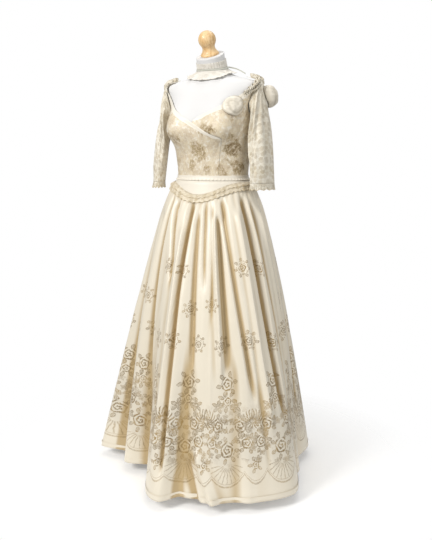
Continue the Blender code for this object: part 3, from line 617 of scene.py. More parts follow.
# rows of small worked knots along an edge, made by Geometry Nodes
def knotRow(name, points, radius, spacing, material, slot, seed=3):
    mesh = bpy.data.meshes.new(name)
    mesh.from_pydata([tuple(map(float, p)) for p in points], [(i, i + 1) for i in range(len(points) - 1)], [])
    obj = addObject(name, mesh)
    tree = bpy.data.node_groups.new(name + "Row", "GeometryNodeTree")
    face, ids = tree.interface, {}
    kinds = {"Geometry": "Geometry", "Radius": "Float", "Spacing": "Float", "Seed": "Int", "Cloth": "Material"}
    for label, kind in kinds.items():
        ids[label] = face.new_socket(label, in_out="INPUT", socket_type="NodeSocket" + kind).identifier
    face.new_socket("Geometry", in_out="OUTPUT", socket_type="NodeSocketGeometry")

    def node(kind, links, **settings):
        made = tree.nodes.new(kind)
        for key, value in settings.items():
            setattr(made, key, value)
        for socket, source in links.items():
            if hasattr(source, "links"):
                tree.links.new(source, made.inputs[socket])
            else:
                made.inputs[socket].default_value = source
        return made

    given = node("NodeGroupInput", {}).outputs
    curve = node("GeometryNodeMeshToCurve", {"Mesh": given["Geometry"]}).outputs[0]
    spaced = {"Curve": curve, "Length": given["Spacing"]}
    spots = node("GeometryNodeResampleCurve", spaced, mode="LENGTH").outputs[0]
    ball = node("GeometryNodeMeshIcoSphere", {"Radius": given["Radius"], "Subdivisions": 2}).outputs[0]
    soft = node("GeometryNodeSetShadeSmooth", {"Geometry": ball}).outputs[0]
    dice = node("FunctionNodeRandomValue", {"Seed": given["Seed"]}, data_type="FLOAT")
    dice.inputs[2].default_value, dice.inputs[3].default_value = 0.75, 1.15
    knots = {"Points": spots, "Instance": soft, "Scale": dice.outputs[1]}
    placed = node("GeometryNodeInstanceOnPoints", knots).outputs[0]
    real = node("GeometryNodeRealizeInstances", {"Geometry": placed}).outputs[0]
    last = node("GeometryNodeSetMaterial", {"Geometry": real, "Material": given["Cloth"]}).outputs[0]
    node("NodeGroupOutput", {0: last})
    step = obj.modifiers.new("row", "NODES")
    step.node_group = tree
    for label, value in (("Radius", radius), ("Spacing", spacing), ("Seed", seed), ("Cloth", material)):
        step[ids[label]] = value
    seen = obj.evaluated_get(bpy.context.evaluated_depsgraph_get())
    made = bpy.data.meshes.new_from_object(seen)
    obj.modifiers.remove(step)
    obj.data = made
    settle(obj, material, slot)


# the form and its wooden knob
form = {
    "columns": 144, "rows": 150, "colour": (0.76, 0.76, 0.765),
    "easeRise": 0.06, "easeEnd": 1.400, "easeFade": 0.028,
}
knob = {"steps": 72, "baseRadius": 0.031, "waistRadius": 0.019, "ball": 0.0295, "height": 0.080, "lift": 0.0010}


def jersey():
    finish = Finish("form_cover", 0.92, 0.2)
    vector, (x, y, z) = finish.place()
    rows = (z * (2 * math.pi / 0.0016)).wave()
    wales = (x.math("ARCTAN2", y) * 520.0).wave()
    knit = rows * wales * 0.5 + finish.noise(vector, 220.0, 2.0)
    shadow = tuple(c * 0.96 for c in form["colour"])
    shade = finish.blend(finish.noise(vector, 12.0, 4.0), shadow, form["colour"])
    return finish.wear(shade, finish.relief(knit, 0.00022, 0.5))


def makeForm():
    levels = ringLevels[0] + (ringLevels[-1] - ringLevels[0]) * np.linspace(0, 1, form["rows"])
    levels, angles = np.meshgrid(levels, ringAngles(form["columns"]), indexing="ij")
    # the form stands back a little under the cloth
    ease = cloth["ease"] * smoothStep((levels - ringLevels[0]) / form["easeRise"])
    rows = formPoint(angles, levels, -ease * (1 - smoothStep((levels - form["easeEnd"]) / form["easeFade"])))
    top = rows[-1].mean(axis=0)  # the neck's edge is turned over and the foot is flat
    turnedOver = ((0.05, 0.0005), (0.5, 0.0006), (0.98, 0.0006))
    over = [rows[-1] + (top - rows[-1]) * s + (0, 0, h) for s, h in turnedOver]
    low = rows[0].mean(axis=0)
    under = [rows[0] + (low - rows[0]) * s for s in (0.98, 0.5, 0.04)]
    obj = gridPiece("form", np.concatenate((under, rows, over)), closed=True)
    work = bmesh.new()
    work.from_mesh(obj.data)
    bmesh.ops.holes_fill(work, edges=[e for e in work.edges if e.is_boundary], sides=0)
    work.to_mesh(obj.data)
    work.free()
    obj.data.shade_smooth()
    settle(obj, jersey(), "form_cover", "form_torso")


def knobWood():
    finish = Finish("turned_wood", 0.42, coat=0.12)
    vector, (x, y, z) = finish.place()
    bent = finish.noise(finish.join(x * 9.0, y * 9.0, z * 2.0), 2.0, 3.0)
    grain = ((x * 55.0 + z * 11.0 + bent * 5.0) * (2 * math.pi)).wave() * 0.5 + 0.5
    pores = finish.noise(finish.join(x * 260.0, y * 260.0, z * 22.0), 1.0, 2.0)
    tone = finish.blend(grain, (0.76, 0.50, 0.235), (0.87, 0.63, 0.345))
    tone = finish.blend(pores.soft(0.42, 0.2) * 0.5, tone, (0.42, 0.22, 0.08))
    return finish.wear(tone, finish.relief(pores, 0.0002, 0.3), finish.noise(vector, 60.0) * 0.15 + 0.34)


def makeKnob():
    centre = knob["height"] - knob["ball"]
    profile = [(knob["ball"] * math.sin(a), centre + knob["ball"] * math.cos(a))
               for a in np.radians(np.linspace(0, 128, 34))]
    reach, low = profile[-1]
    for s in np.linspace(0.15, 1, 12):  # the neck sweeps out to the base
        out = knob["waistRadius"] + (knob["baseRadius"] - 0.001 - knob["waistRadius"]) * s**2.2
        drop = low + (0.0062 - low) * s
        profile.append((out + (reach - knob["waistRadius"]) * (1 - s) ** 3, drop))
    profile += [(0.0308, 0.0050), (0.0310, 0.0038), (0.0310, 0.0012), (0.0306, 0.0002), (0.0, 0.0)]
    top = formRings[-1]
    tilt = math.atan2(top[5] - top[3], top[1] + top[2])
    middle = Vector((0, -neckLean["by"], top[4]))
    place = Matrix.Translation(middle + Vector((0, -math.sin(tilt), math.cos(tilt))) * knob["lift"])
    place = place @ Matrix.Rotation(tilt, 4, "X")
    work = bmesh.new()
    verts = [work.verts.new((r, 0, z)) for r, z in profile]
    edges = [work.edges.new(pair) for pair in zip(verts, verts[1:])]
    bmesh.ops.spin(work, geom=verts + edges, cent=(0, 0, 0), axis=(0, 0, 1), angle=2 * math.pi,
                   steps=knob["steps"], use_merge=True)
    bmesh.ops.remove_doubles(work, verts=work.verts, dist=0.00002)
    bmesh.ops.recalc_face_normals(work, faces=work.faces)
    bmesh.ops.transform(work, matrix=place, verts=work.verts)
    mesh = bpy.data.meshes.new("knob")
    work.to_mesh(mesh)
    work.free()
    mesh.shade_smooth()
    settle(addObject("knob", mesh), knobWood(), "turned_wood", "neck_cap")


makeForm()
makeKnob()
print("form and knob made")


# the stand keeps its solids
def brushedSteel():
    finish = Finish("stand_steel", 0.36, metallic=1.0)
    _, (x, y, z) = finish.place()
    brushed = finish.noise(finish.join(x * 60.0, y * 60.0, z * 900.0), 1.0, 3.0)
    tone = finish.blend(brushed, (0.47, 0.47, 0.48), (0.60, 0.60, 0.61))
    return finish.wear(tone, finish.relief(brushed, 0.0001, 0.3), brushed * 0.2 + 0.26)


steel = brushedSteel()
for name in ("stand_foot", "stand_pole"):
    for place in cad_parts[name].material_slots:
        place.material = steel

# the skirt: one gathered sheet for the six gores, folds placed one by one
skirt = {
    "columns": 800, "rows": 116, "hem": 0.035, "hemMean": 0.378, "flare": 0.74, "topOut": 0.0056,
    "drop": 0.0014, "turnUp": 0.018, "repeats": 14, "sharp": 0.74, "deep": 1.12, "lesser": 84, "near": 13,
    "even": 61,
}
basque = {"side": 1.037, "dip": 0.042, "spread": 37.5, "standOff": 0.008, "standHeight": 0.022}
hemKnots = (
    (-166, 0.345), (-150, 0.400), (-134, 0.345), (-118, 0.400), (-104, 0.350), (-91, 0.395), (-81, 0.365),
    (-68, 0.432), (-59, 0.318), (-46, 0.336), (-32, 0.252), (2.5, 0.417), (11, 0.360), (28, 0.392),
    (38, 0.388), (46, 0.407), (66, 0.424), (88, 0.347), (104, 0.316), (130, 0.374), (142, 0.332),
    (153, 0.392), (167, 0.342), (180, 0.398), (194, 0.345),
)
# the print's repeats by angle: a shell stands at each half, a plain scallop at each whole number
printKnots = ((-180, 0.0), (-13, 6.5), (12.3, 7.5), (33.5, 8.5), (63.7, 9.5), (90, 10.5), (180, 14.0))
# each fold: depth, half width on the right, half width on the left, then height and angle down it
skirtFolds = (
    (0.013, 0.030, 0.010, ((0.19, 18.5), (0.12, 22.0), (0.04, 27.0), (-0.08, 32))),
    (-0.012, 0.012, 0.030, ((0.16, 14.0), (0.10, 17.0), (0.04, 20.0), (-0.08, 25))),
    (-0.020, 0.011, 0.016, ((0.97, -3.5), (0.95, -2.5), (0.69, -2.0), (0.50, 0.0), (0.20, 1.7), (0.10, 2.0))),
    (0.009, 0.012, 0.016, ((0.90, -7.0), (0.60, -5.0), (0.12, -3.5))),
    (-0.012, 0.014, 0.012, ((0.98, -31), (0.945, -30), (0.86, -22), (0.79, -16.6), (0.70, -14))),
    (-0.010, 0.012, 0.012, ((0.93, 9.5), (0.84, 10.5), (0.52, 13.4), (0.44, 14))),
    (-0.006, 0.006, 0.008, ((0.96, 28), (0.88, 28), (0.69, 28), (0.60, 27))),
    (0.008, 0.010, 0.014, ((0.93, 29.5), (0.86, 30.0), (0.57, 32.4), (0.40, 33))),
    (-0.016, 0.026, 0.012, ((0.93, 33.5), (0.86, 34.5), (0.57, 36.5), (0.45, 37))),
    (-0.013, 0.014, 0.012, ((0.985, 40), (0.945, 41.5), (0.72, 46), (0.50, 49.8), (0.36, 52))),
    (0.010, 0.016, 0.014, ((0.95, 55), (0.60, 58), (0.25, 60))),
    (-0.024, 0.012, 0.018, ((0.985, 66.8), (0.925, 67.7), (0.50, 68.5), (0.28, 70))),
    (-0.012, 0.012, 0.014, ((0.97, 77), (0.50, 79), (0.30, 80))),
    (0.009, 0.014, 0.014, ((0.95, 85), (0.40, 88))),
    (-0.018, 0.016, 0.016, ((0.99, 96.5), (0.90, 97.5), (0.50, 99), (0.25, 101))),
    (-0.008, 0.016, 0.022, ((0.93, -55), (0.60, -58), (0.40, -60))),
    (-0.010, 0.012, 0.012, ((0.985, -42), (0.80, -41), (0.55, -39), (0.40, -37))),
    (-0.007, 0.008, 0.010, ((0.97, 19), (0.80, 20), (0.70, 21))),
    (-0.013, 0.012, 0.016, ((0.985, -74), (0.70, -76), (0.35, -78))),
    (-0.009, 0.012, 0.012, ((0.97, -87), (0.60, -90), (0.45, -91))),
    (-0.017, 0.014, 0.018, ((0.985, -101), (0.60, -103), (0.25, -104))),
    (-0.011, 0.012, 0.014, ((0.96, -115), (0.70, -114), (0.50, -113))),
    (-0.018, 0.014, 0.016, ((0.985, -129), (0.60, -131), (0.20, -134))),
    (-0.009, 0.010, 0.014, ((0.97, -143), (0.75, -145), (0.55, -146))),
    (-0.016, 0.015, 0.013, ((0.985, -158), (0.60, -161), (0.25, -165))),
    (-0.012, 0.014, 0.012, ((0.97, -173), (0.70, -174), (0.40, -176))),
    (-0.013, 0.013, 0.015, ((0.985, 112), (0.60, 113), (0.25, 113))),
    (-0.009, 0.012, 0.011, ((0.96, 125), (0.70, 124), (0.50, 123))),
    (-0.018, 0.016, 0.013, ((0.985, 137), (0.60, 138), (0.20, 139))),
    (-0.008, 0.011, 0.012, ((0.96, 151), (0.72, 150), (0.52, 149))),
    (-0.015, 0.013, 0.015, ((0.985, 164), (0.60, 166), (0.25, 167))),
)


def basqueEdge(angle):
    return basque["side"] - basque["dip"] * bell(halfTurn(angle) / basque["spread"])


def basquePoint(angle, level, out=cloth["onForm"]):
    ease = smoothStep((bodiceFoot - level) / basque["standHeight"])
    return formPoint(angle, level, out + basque["standOff"] * ease)


def hemRadius(angle):
    turned = (angle + 166) % 360 - 166
    knots = np.array(hemKnots)
    i = np.clip(np.searchsorted(knots[:, 0], turned, "left") - 1, 0, len(knots) - 2)
    low, high = knots[i], knots[i + 1]
    return low[..., 1] + (high[..., 1] - low[..., 1]) * smoothStep(
        (turned - low[..., 0]) / (high[..., 0] - low[..., 0]))


def ridgeAlong(turn, height, radius, depth, right, left, path):
    # a soft ridge or trough that follows a path of heights and angles
    tall = np.array(path)[::-1]
    middle = np.interp(height, tall[:, 0], tall[:, 1])
    aside = aroundBody(turn - middle, radius)
    wide = np.where(aside > 0, right, left) * skirt["sharp"]
    depth = depth * skirt["deep"]
    ends = smoothStep((height - tall[0, 0] + 0.03) / 0.11) * smoothStep((tall[-1, 0] + 0.02 - height) / 0.05)
    return depth * ends * (1.18 * bell(aside / wide) - 0.18 * bell(aside / wide / 2.6))


def gatherFolds(turn, height, radius):
    # short gathers from the basque's edge, each with its own length, depth and lean
    dice = np.random.default_rng(7)
    total = np.zeros_like(radius)
    top = np.interp(turn, (-180, -60, 0, 60, 180), (1.03, 1.015, 0.985, 1.015, 1.03))
    spot = -180.0
    while spot < 179:
        length, depth = dice.uniform(0.05, 0.20), dice.uniform(0.0015, 0.0042)
        wide, lean = dice.uniform(0.0045, 0.0075), dice.uniform(-2.5, 2.5)
        fall = top - height
        aside = aroundBody(turn - spot - lean * fall / 0.15, radius)
        spread = wide * (1 + 3 * np.clip(fall, 0, 1))
        total -= depth * bell(aside / spread) * (1 - smoothStep(fall / length))
        spot += dice.uniform(4.8, 9.5)
    return total


def lesserFolds(turn, height, radius):
    # long shallow folds between the main ones
    dice = np.random.default_rng(19)
    total = np.zeros_like(radius)
    for number in range(skirt["lesser"]):
        spot = -180 + (number + dice.uniform(-0.3, 0.3)) * 360 / skirt["lesser"]
        high = dice.uniform(0.55, 0.97)
        low, depth = high - dice.uniform(0.22, 0.60), dice.uniform(-0.0036, 0.0022)
        lean, wide = dice.uniform(-4, 4), dice.uniform(0.0055, 0.015)
        aside = aroundBody(turn - spot - lean * (high - height), radius)
        ends = smoothStep((height - low) / 0.1) * smoothStep((high - height) / 0.1)
        total += depth * bell(aside / wide) * ends
    return total


def skirtBase(angle, share, out=0.0):
    top = basquePoint(angle, basqueEdge(angle), skirt["topOut"])
    topRadius = np.hypot(top[..., 0], top[..., 1])
    topAngle = np.degrees(np.arctan2(top[..., 0], -top[..., 1]))
    topAngle = topAngle + 360 * np.round((angle - topAngle) / 360)
    flare = share ** skirt["flare"]
    radius = topRadius + (skirt["hemMean"] - topRadius) * flare + (
        hemRadius(angle) - skirt["hemMean"]) * share**1.5 + out
    turn = topAngle + (angle - topAngle) * flare
    start = top[..., 2] - skirt["drop"]
    return turn, radius, start + (skirt["hem"] - start) * share


def skirtPoint(angle, share, out=0.0, folded=1.0):
    turn, radius, height = skirtBase(angle, share, out)
    if folded:
        change = gatherFolds(turn, height, radius) + lesserFolds(turn, height, radius)
        for fold in skirtFolds:
            change = change + ridgeAlong(turn, height, radius, *fold)
        radius = radius + folded * change
    a = np.radians(turn)
    return np.stack((radius * np.sin(a), -radius * np.cos(a), height), -1)


def makeSkirt(material):
    angles = -180 + ringAngles(skirt["columns"])
    shares = np.linspace(0, 1, skirt["rows"])[::-1]
    shares, around = np.meshgrid(shares, angles, indexing="ij")
    rows = skirtPoint(around, shares)
    inside = unit(rows[0] * (1, 1, 0))  # the hem turned up inside
    turned = [rows[0] - inside * out + (0, 0, rise) for out, rise in (
        (0.0016, skirt["turnUp"]), (0.0018, 0.006), (0.0013, -0.0004))]
    rows = np.concatenate((turned, rows))
    radius = np.hypot(rows[..., 0], rows[..., 1])
    ring = np.linalg.norm(rows - np.roll(rows, 1, axis=1), axis=2).sum(axis=1, keepdims=True)
    knots = np.array(printKnots)
    u = np.interp(np.linspace(-180, 180, skirt["columns"] + 1), knots[:, 0], knots[:, 1])
    even, columns = skirt["even"], skirt["columns"]
    rate = np.convolve(np.tile(np.diff(u), 3), np.ones(even) / even, "same")[columns:2 * columns]
    u = np.concatenate(((0,), np.cumsum(rate)))
    u = u[None] * (skirt["repeats"] / u[-1]) * np.ones((len(rows), 1))
    height = rows[..., 2].copy()
    height[:3] = 0.02
    uv = np.stack((u, np.concatenate((height, height[:, :1]), axis=1)), -1)
    width = ring / skirt["columns"] / rate[None]
    # how far each point lies behind its neighbours round the row, which marks where the folds get painted shade
    reach = skirt["near"]
    near = sum(np.roll(radius, k, axis=1) for k in range(-reach, reach + 1)) / (2 * reach + 1)
    paintedShade = np.clip((near - radius) / 0.0050, 0, 1) ** 1.1 * 0.85
    paintedShade[:3] = 0
    obj = gridPiece("skirt", rows, closed=True, uv=uv, marks={"repeatWidth": width, "paintedShade": paintedShade})
    settle(obj, material, "satin", "skirt_centre_front", "skirt_front_left", "skirt_front_right",
           "skirt_back_left", "skirt_back_right", "skirt_centre_back")


makeSkirt(skirtPrint())
print("skirt made")

# the bodice: four panels, the right front wrapping over the left
bodice = {
    "rows": 110, "columns": 96, "wall": 0.0011, "strapLift": 0.0014, "wrapLift": 0.0030, "wrapReach": 0.12,
    "frontWrap": (
        (0.00, -90, bodiceFoot, 31, bodiceFoot), (0.20, -90, 1.120, 32, 1.110), (0.38, -90, 1.190, 33, 1.181),
        (0.46, -90, 1.225, 18, 1.203), (0.54, -89, 1.262, -5, 1.238), (0.64, -76, 1.276, -22, 1.268),
        (0.76, -71, 1.308, -43, 1.305), (0.88, -76, 1.346, -62, 1.344), (1.00, -89, 1.369, -89, 1.386)),
    "frontLeft": (
        (0.00, 31, bodiceFoot, 90, bodiceFoot), (0.20, 32, 1.110, 90, 1.120), (0.38, 33, 1.181, 90, 1.190),
        (0.46, 18, 1.203, 90, 1.225), (0.54, -5, 1.238, 89, 1.262), (0.64, 22, 1.280, 76, 1.276),
        (0.76, 43, 1.311, 71, 1.308), (0.88, 62, 1.344, 76, 1.346), (1.00, 89, 1.386, 89, 1.369)),
    "backLeft": (
        (0.00, 90, bodiceFoot, 180, bodiceFoot), (0.30, 90, 1.150, 180, 1.150), (0.54, 91, 1.262, 180, 1.262),
        (0.64, 105, 1.280, 180, 1.295), (0.76, 109, 1.312, 150, 1.320), (0.88, 104, 1.348, 120, 1.356),
        (1.00, 91, 1.369, 91, 1.386)),
}


# faint pulls across the bodice, towards the wrap's end and over the ribs: the middle's angle and height,
# rise per degree, half width and depth
bodicePulls = (
    (-30, 1.128, 0.0010, 0.0060, 0.0011), (-12, 1.105, 0.0012, 0.0055, 0.0009),
    (-48, 1.160, 0.0009, 0.0060, 0.0008), (10, 1.150, 0.0011, 0.0050, 0.0008),
    (58, 1.125, -0.0010, 0.0060, 0.0010), (70, 1.155, -0.0012, 0.0055, 0.0009),
    (62, 1.092, -0.0006, 0.0050, 0.0007), (-64, 1.096, 0.0006, 0.0050, 0.0008),
    (120, 1.120, 0.0008, 0.0060, 0.0008), (150, 1.100, -0.0006, 0.0050, 0.0007),
    (-128, 1.118, -0.0008, 0.0060, 0.0008), (50, 1.236, 0.0042, 0.0100, 0.0024),
    (62, 1.224, 0.0036, 0.0090, 0.0022), (40, 1.222, 0.0060, 0.0100, 0.0016),
)


def strain(angle, level):
    total = 0.0
    for spot, high, lean, wide, depth in bodicePulls:
        aside = halfTurn(angle - spot)
        total = total - depth * bell((level - high - lean * aside) / wide) * bell(aside / 17)
    return total


def panelPoints(table, insetRight, insetLeft, lift=0.0):
    shares = np.linspace(0, 1, bodice["rows"])
    places = [row[0] for row in table]
    edges = [readCurve(places, [row[f] for row in table], shares)[:, None] for f in range(1, 5)]
    part = np.linspace(0, 1, bodice["columns"])[None]
    angle = edges[0] + insetRight + (edges[2] - insetLeft - edges[0] - insetRight) * part
    level = edges[1] + (edges[3] - edges[1]) * part
    shares = shares[:, None] * np.ones_like(part)
    rise = bodice["strapLift"] * smoothStep((shares - 0.84) / 0.1) + strain(angle, level)
    along = smoothStep((shares - 0.355) / 0.05) * (1 - smoothStep((shares - 0.56) / 0.10))
    rise = rise + lift * along * smoothStep((part - 1 + bodice["wrapReach"]) / bodice["wrapReach"])
    return formPoint(angle, level, cloth["onForm"] + rise), shares


def edgeRun(points, fromLeft):
    # how far each point is from one side edge of its panel, along its row
    steps = np.linalg.norm(np.diff(points, axis=1), axis=2)
    run = np.concatenate((np.zeros((len(points), 1)), np.cumsum(steps, axis=1)), axis=1)
    return run[:, -1:] - run if fromLeft else run


def makePanel(name, node, points, shares, fromLeft, material, neckFrom):
    run = edgeRun(points, fromLeft)
    uv = np.stack((run, shares), -1)
    neck = smoothStep((shares - neckFrom) / 0.04)
    obj = gridPiece(name, points, uv=uv, marks={"neckEdge": run * neck + 0.2 * (1 - neck)})
    clothe(obj, bodice["wall"], material, "brocade", node)


def makeBodice(material):
    half = 0.06
    points, shares = panelPoints(bodice["frontWrap"], half, half, bodice["wrapLift"])
    makePanel("bodiceWrap", "bodice_front_wrap", points, shares, True, material, 0.36)
    points, shares = panelPoints(bodice["frontLeft"], 2 * half, half)
    makePanel("bodiceLeft", "bodice_front_left", points, shares, False, material, 0.52)
    points, shares = panelPoints(bodice["backLeft"], half, half)
    makePanel("bodiceBackLeft", "bodice_back_left", points, shares, True, material, 0.60)
    makePanel("bodiceBackRight", "bodice_back_right", mirrored(points), shares, False, material,
              0.60)


makeBodice(brocadeCloth())
print("bodice made")

# the narrow band over the waist seam, with a small scalloped edge
waistBand = {
    "columns": 720, "rows": 9, "scallops": 64, "scallop": 0.0022, "ripple": 0.0008,
    # places down the band, and the height and distance from the form at each
    "places": (0, 0.25, 0.62, 1.0), "levels": (1.0640, 1.0590, 1.0525, 1.0480),
    "out": (cloth["lap"], cloth["lap"], 0.0062, 0.0090),
}


def makeWaistBand():
    share = np.linspace(1, 0, waistBand["rows"])
    down, angle = np.meshgrid(share, ringAngles(waistBand["columns"]), indexing="ij")
    level = readCurve(waistBand["places"], waistBand["levels"], down)
    out = readCurve(waistBand["places"], waistBand["out"], down)
    bead = np.abs(np.sin(np.radians(angle * waistBand["scallops"] / 2)))
    level = level - waistBand["scallop"] * down**3 * (bead - 0.5)
    out = out + waistBand["ripple"] * down**2 * np.cos(np.radians(angle * waistBand["scallops"]))
    uv = clothMap(np.linspace(0, 360, waistBand["columns"] + 1), share)
    obj = gridPiece("waistBand", formPoint(angle, level, out), closed=True, uv=uv)
    clothe(obj, 0.0010, satinCloth, "satin", "waist_band")


def makeBasque():
    for name, node, start, tall, area in (
            ("basqueFront", "basque_front", -90, 0.074, 0.0165),
            ("basqueBack", "basque_back", 90, 0.026, 0.0083)):
        angle = np.linspace(start + 0.15, start + 180 - 0.15, 150)
        share, angle = np.meshgrid(np.linspace(0, 1, 26), angle, indexing="ij")
        low = basqueEdge(angle)
        level = low + (bodiceFoot - 0.0006 - low) * share
        obj = gridPiece(name, basquePoint(angle, level, cloth["onForm"] + 0.4 * strain(angle, level + 0.07)))
        clothe(obj, 0.0010, satinCloth, "satin", node)


makeWaistBand()
makeBasque()
print("waist and basque made")

# the ruffled lace over the joint of basque and skirt, in two tiers
ruffle = {
    "columns": 1160, "scallops": 58, "scallop": 0.0032, "flutes": 41, "wall": 0.0009,
    # each row's height over the basque's edge, or below it minus its share down the skirt,
    # and then how far out it is
    "upper": ((0.0040, 0.0050), (0.0020, 0.0062), (0.0002, 0.0070), (-0.0015, 0.0062), (-0.0035, 0.0061),
              (-0.0055, 0.0060)),
    "lower": ((0.0052, 0.0026), (0.0034, 0.0040), (0.0016, 0.0052), (0.0002, 0.0061), (-0.0020, 0.0048),
              (-0.0050, 0.0048), (-0.0085, 0.0044), (-0.0120, 0.0038), (-0.0155, 0.0032), (-0.0185, 0.0027),
              (-0.0205, 0.0024)),
}


def ruffleTier(name, rowsDown, reach, swing, seed):
    angle = ringAngles(ruffle["columns"])
    dice = np.random.default_rng(seed)
    turn = np.radians(angle)
    phase = ruffle["flutes"] * turn + 1.6 * np.sin(3 * turn + dice.uniform(0, 6)) + 1.1 * np.sin(7 * turn + 2)
    flute = np.sin(phase) * (0.75 + 0.25 * np.sin(5 * turn + dice.uniform(0, 6)))
    bead = np.abs(np.sin(turn * ruffle["scallops"] / 2)) - 0.6
    rows = []
    for down, (along, out) in zip(np.linspace(0, 1, len(rowsDown)), rowsDown):
        swell = out + reach * down**1.2 + swing * (0.18 + 0.82 * down) * flute
        drop = ruffle["scallop"] * bead * down**4
        if along < 0:
            rows.append(skirtPoint(angle, np.clip(drop - along, 0.001, 1), swell, 0.0))
        else:
            rows.append(basquePoint(angle, basqueEdge(angle) + along - drop, swell))
    rows = np.array(rows[::-1])
    uv = clothMap(np.linspace(0, ruffle["scallops"], ruffle["columns"] + 1), np.linspace(1, 0, len(rows)))
    return gridPiece(name, rows, closed=True, uv=uv), looped(rows[0])


def makeRuffle(material):
    low, lowEdge = ruffleTier("basqueLace", ruffle["lower"], 0.0004, 0.0010, 3)
    clothe(low, ruffle["wall"], material, "lace", "basque_lace")
    high, highEdge = ruffleTier("basqueLaceUpper", ruffle["upper"], 0.0014, 0.0008, 5)
    clothe(high, ruffle["wall"], material, "lace")
    knotRow("basqueKnots", lowEdge, 0.0010, 0.0034, goldThread, "lace", 11)
    knotRow("basqueUpperKnots", highEdge, 0.0009, 0.0034, goldThread, "lace", 12)


makeRuffle(laceCloth("lace_trim", 0.0145, 0.030, 0.4, 0.7, laceColours["trim"]))
print("basque lace made")

# sleeves, empty and flattened, with scalloped cuffs
sleeve = {
    "rows": 150, "columns": 240, "topOut": 0.0055, "armLevel": 1.3165, "armHalf": 0.0590, "armAngle": 19.0,
    "lineTop": (0.186, -0.004, 1.372), "lineUnder": (0.161, -0.006, 1.262), "foot": (0.203, -0.031, 1.040),
    "turn": 25.0, "halfThin": 0.021, "halfTop": 0.043, "halfFoot": 0.051, "cuff": 0.017, "scallops": 12,
    "scallop": 0.0055, "cuffRows": 14, "cuffColumns": 480, "gathers": 19,
    # folds: depth, half width in degrees, then share and turn down the sleeve
    "folds": (
        (-0.0075, 13, ((0.05, 60), (0.25, 78), (0.50, 88), (0.75, 92))),
        (0.0050, 15, ((0.10, 95), (0.45, 112), (0.75, 116))),
        (-0.0065, 12, ((0.04, 20), (0.20, 34), (0.45, 46), (0.62, 50))),
        (-0.0050, 11, ((0.04, -18), (0.20, -8), (0.40, 2), (0.55, 6))),
        (-0.0060, 14, ((0.04, -60), (0.30, -72), (0.60, -80))),
        (-0.0055, 12, ((0.10, -110), (0.35, -118), (0.70, -122))),
        (0.0045, 14, ((0.40, 20), (0.70, 16), (0.95, 14))),
        (-0.0040, 10, ((0.45, 68), (0.80, 64), (0.98, 62))),
        (-0.0040, 12, ((0.50, -30), (0.80, -36), (0.98, -38))),
    ),
}


def sleeveFolds(turn, share):
    total = 0.0
    for depth, wide, path in sleeve["folds"]:
        path = np.array(path)
        middle = np.interp(share, path[:, 0], path[:, 1])
        start, end = path[0, 0] - 0.05, path[-1, 0] + 0.04
        ends = smoothStep((share - start) / 0.12) * smoothStep((end - share) / 0.18)
        total = total + depth * ends * bell(halfTurn(turn - middle) / wide)
    return total


def sleevePoint(turn, share, out=0.0, folds=0.0):
    turn, share = np.broadcast_arrays(np.asarray(turn, float), np.asarray(share, float))
    v, t = np.radians(turn), share[..., None]
    cos, sin = np.cos(v)[..., None], np.sin(v)[..., None]
    loop = formPoint(90 - sleeve["armAngle"] * np.sin(v), sleeve["armLevel"] + sleeve["armHalf"] * np.cos(v),
                     sleeve["topOut"] + 0.05 * share + out)
    turned = math.radians(sleeve["turn"])
    thin = np.array((math.cos(turned), -math.sin(turned), 0))
    wide = np.array((-math.sin(turned), -math.cos(turned), 0))
    foot = np.array(sleeve["foot"])
    bow = thin * 0.006 * np.sin(math.pi * t)
    outer = lerp(np.array(sleeve["lineTop"]), foot + thin * sleeve["halfThin"], t) + bow
    under = lerp(np.array(sleeve["lineUnder"]), foot - thin * sleeve["halfThin"], t)
    halfWide = lerp(sleeve["halfTop"], sleeve["halfFoot"], t)
    front = unit(lerp(np.array((0, -1, 0.0)), wide, smoothStep(t / 0.5)))
    gather = np.cos(sleeve["gathers"] * v + 1.3 * np.sin(3 * v)) * (0.5 + 0.5 * np.cos(v))
    gather = gather * (1 - smoothStep((share - 0.08) / 0.30))
    depth = 0.0022 * gather + folds * sleeveFolds(turn, share)
    tube = (outer + under) / 2 + (outer - under) / 2 * cos + front * halfWide * sin
    tube = tube + unit(thin * cos + front * sin) * (depth + out)[..., None]
    return lerp(loop, tube, smoothStep(t / 0.30))


def makeSleeve(side, mirror, material, cuffMaterial):
    shares, columns, count = np.linspace(1, 0, sleeve["rows"]), sleeve["columns"], sleeve["cuffColumns"]
    share, turns = np.meshgrid(shares, 180 - ringAngles(columns), indexing="ij")
    rows = sleevePoint(turns, share, 0.0, 1.0)
    angle = -ringAngles(count)
    edge = 1 + sleeve["cuff"] / (sleeve["lineTop"][2] - sleeve["foot"][2])
    cuff = []
    cuffShares = np.linspace(1, 0, sleeve["cuffRows"])
    for down in cuffShares:
        out = 0.0015 * down + 0.0007 * down * np.sin(np.radians(30 * angle))
        points = sleevePoint(angle, 1 + (edge - 1) * down, out, 1.0)
        bead = np.abs(np.sin(np.radians(sleeve["scallops"] * 0.5 * angle)))
        drop = (sleeve["cuff"] + sleeve["scallop"] * bead - 0.0006) * down
        points[..., 2] = sleeve["foot"][2] - 0.0006 - drop
        cuff.append(points)
    cuff = np.array(cuff)
    if mirror:
        rows, cuff = mirrored(rows), mirrored(cuff)
    obj = gridPiece("sleeve" + side, rows, closed=True, uv=clothMap(np.linspace(0, 1, columns + 1), shares))
    clothe(obj, 0.0010, material, "lace", "sleeve_" + side.lower())
    knotRow("cuffKnots" + side, looped(cuff[0]), 0.0010, 0.0036, goldThread, "lace")
    cuffUv = clothMap(np.linspace(0, sleeve["scallops"], count + 1), cuffShares)
    obj = gridPiece("cuffLace" + side, cuff, closed=True, uv=cuffUv)
    clothe(obj, 0.0010, cuffMaterial, "lace", "cuff_lace_" + side.lower())


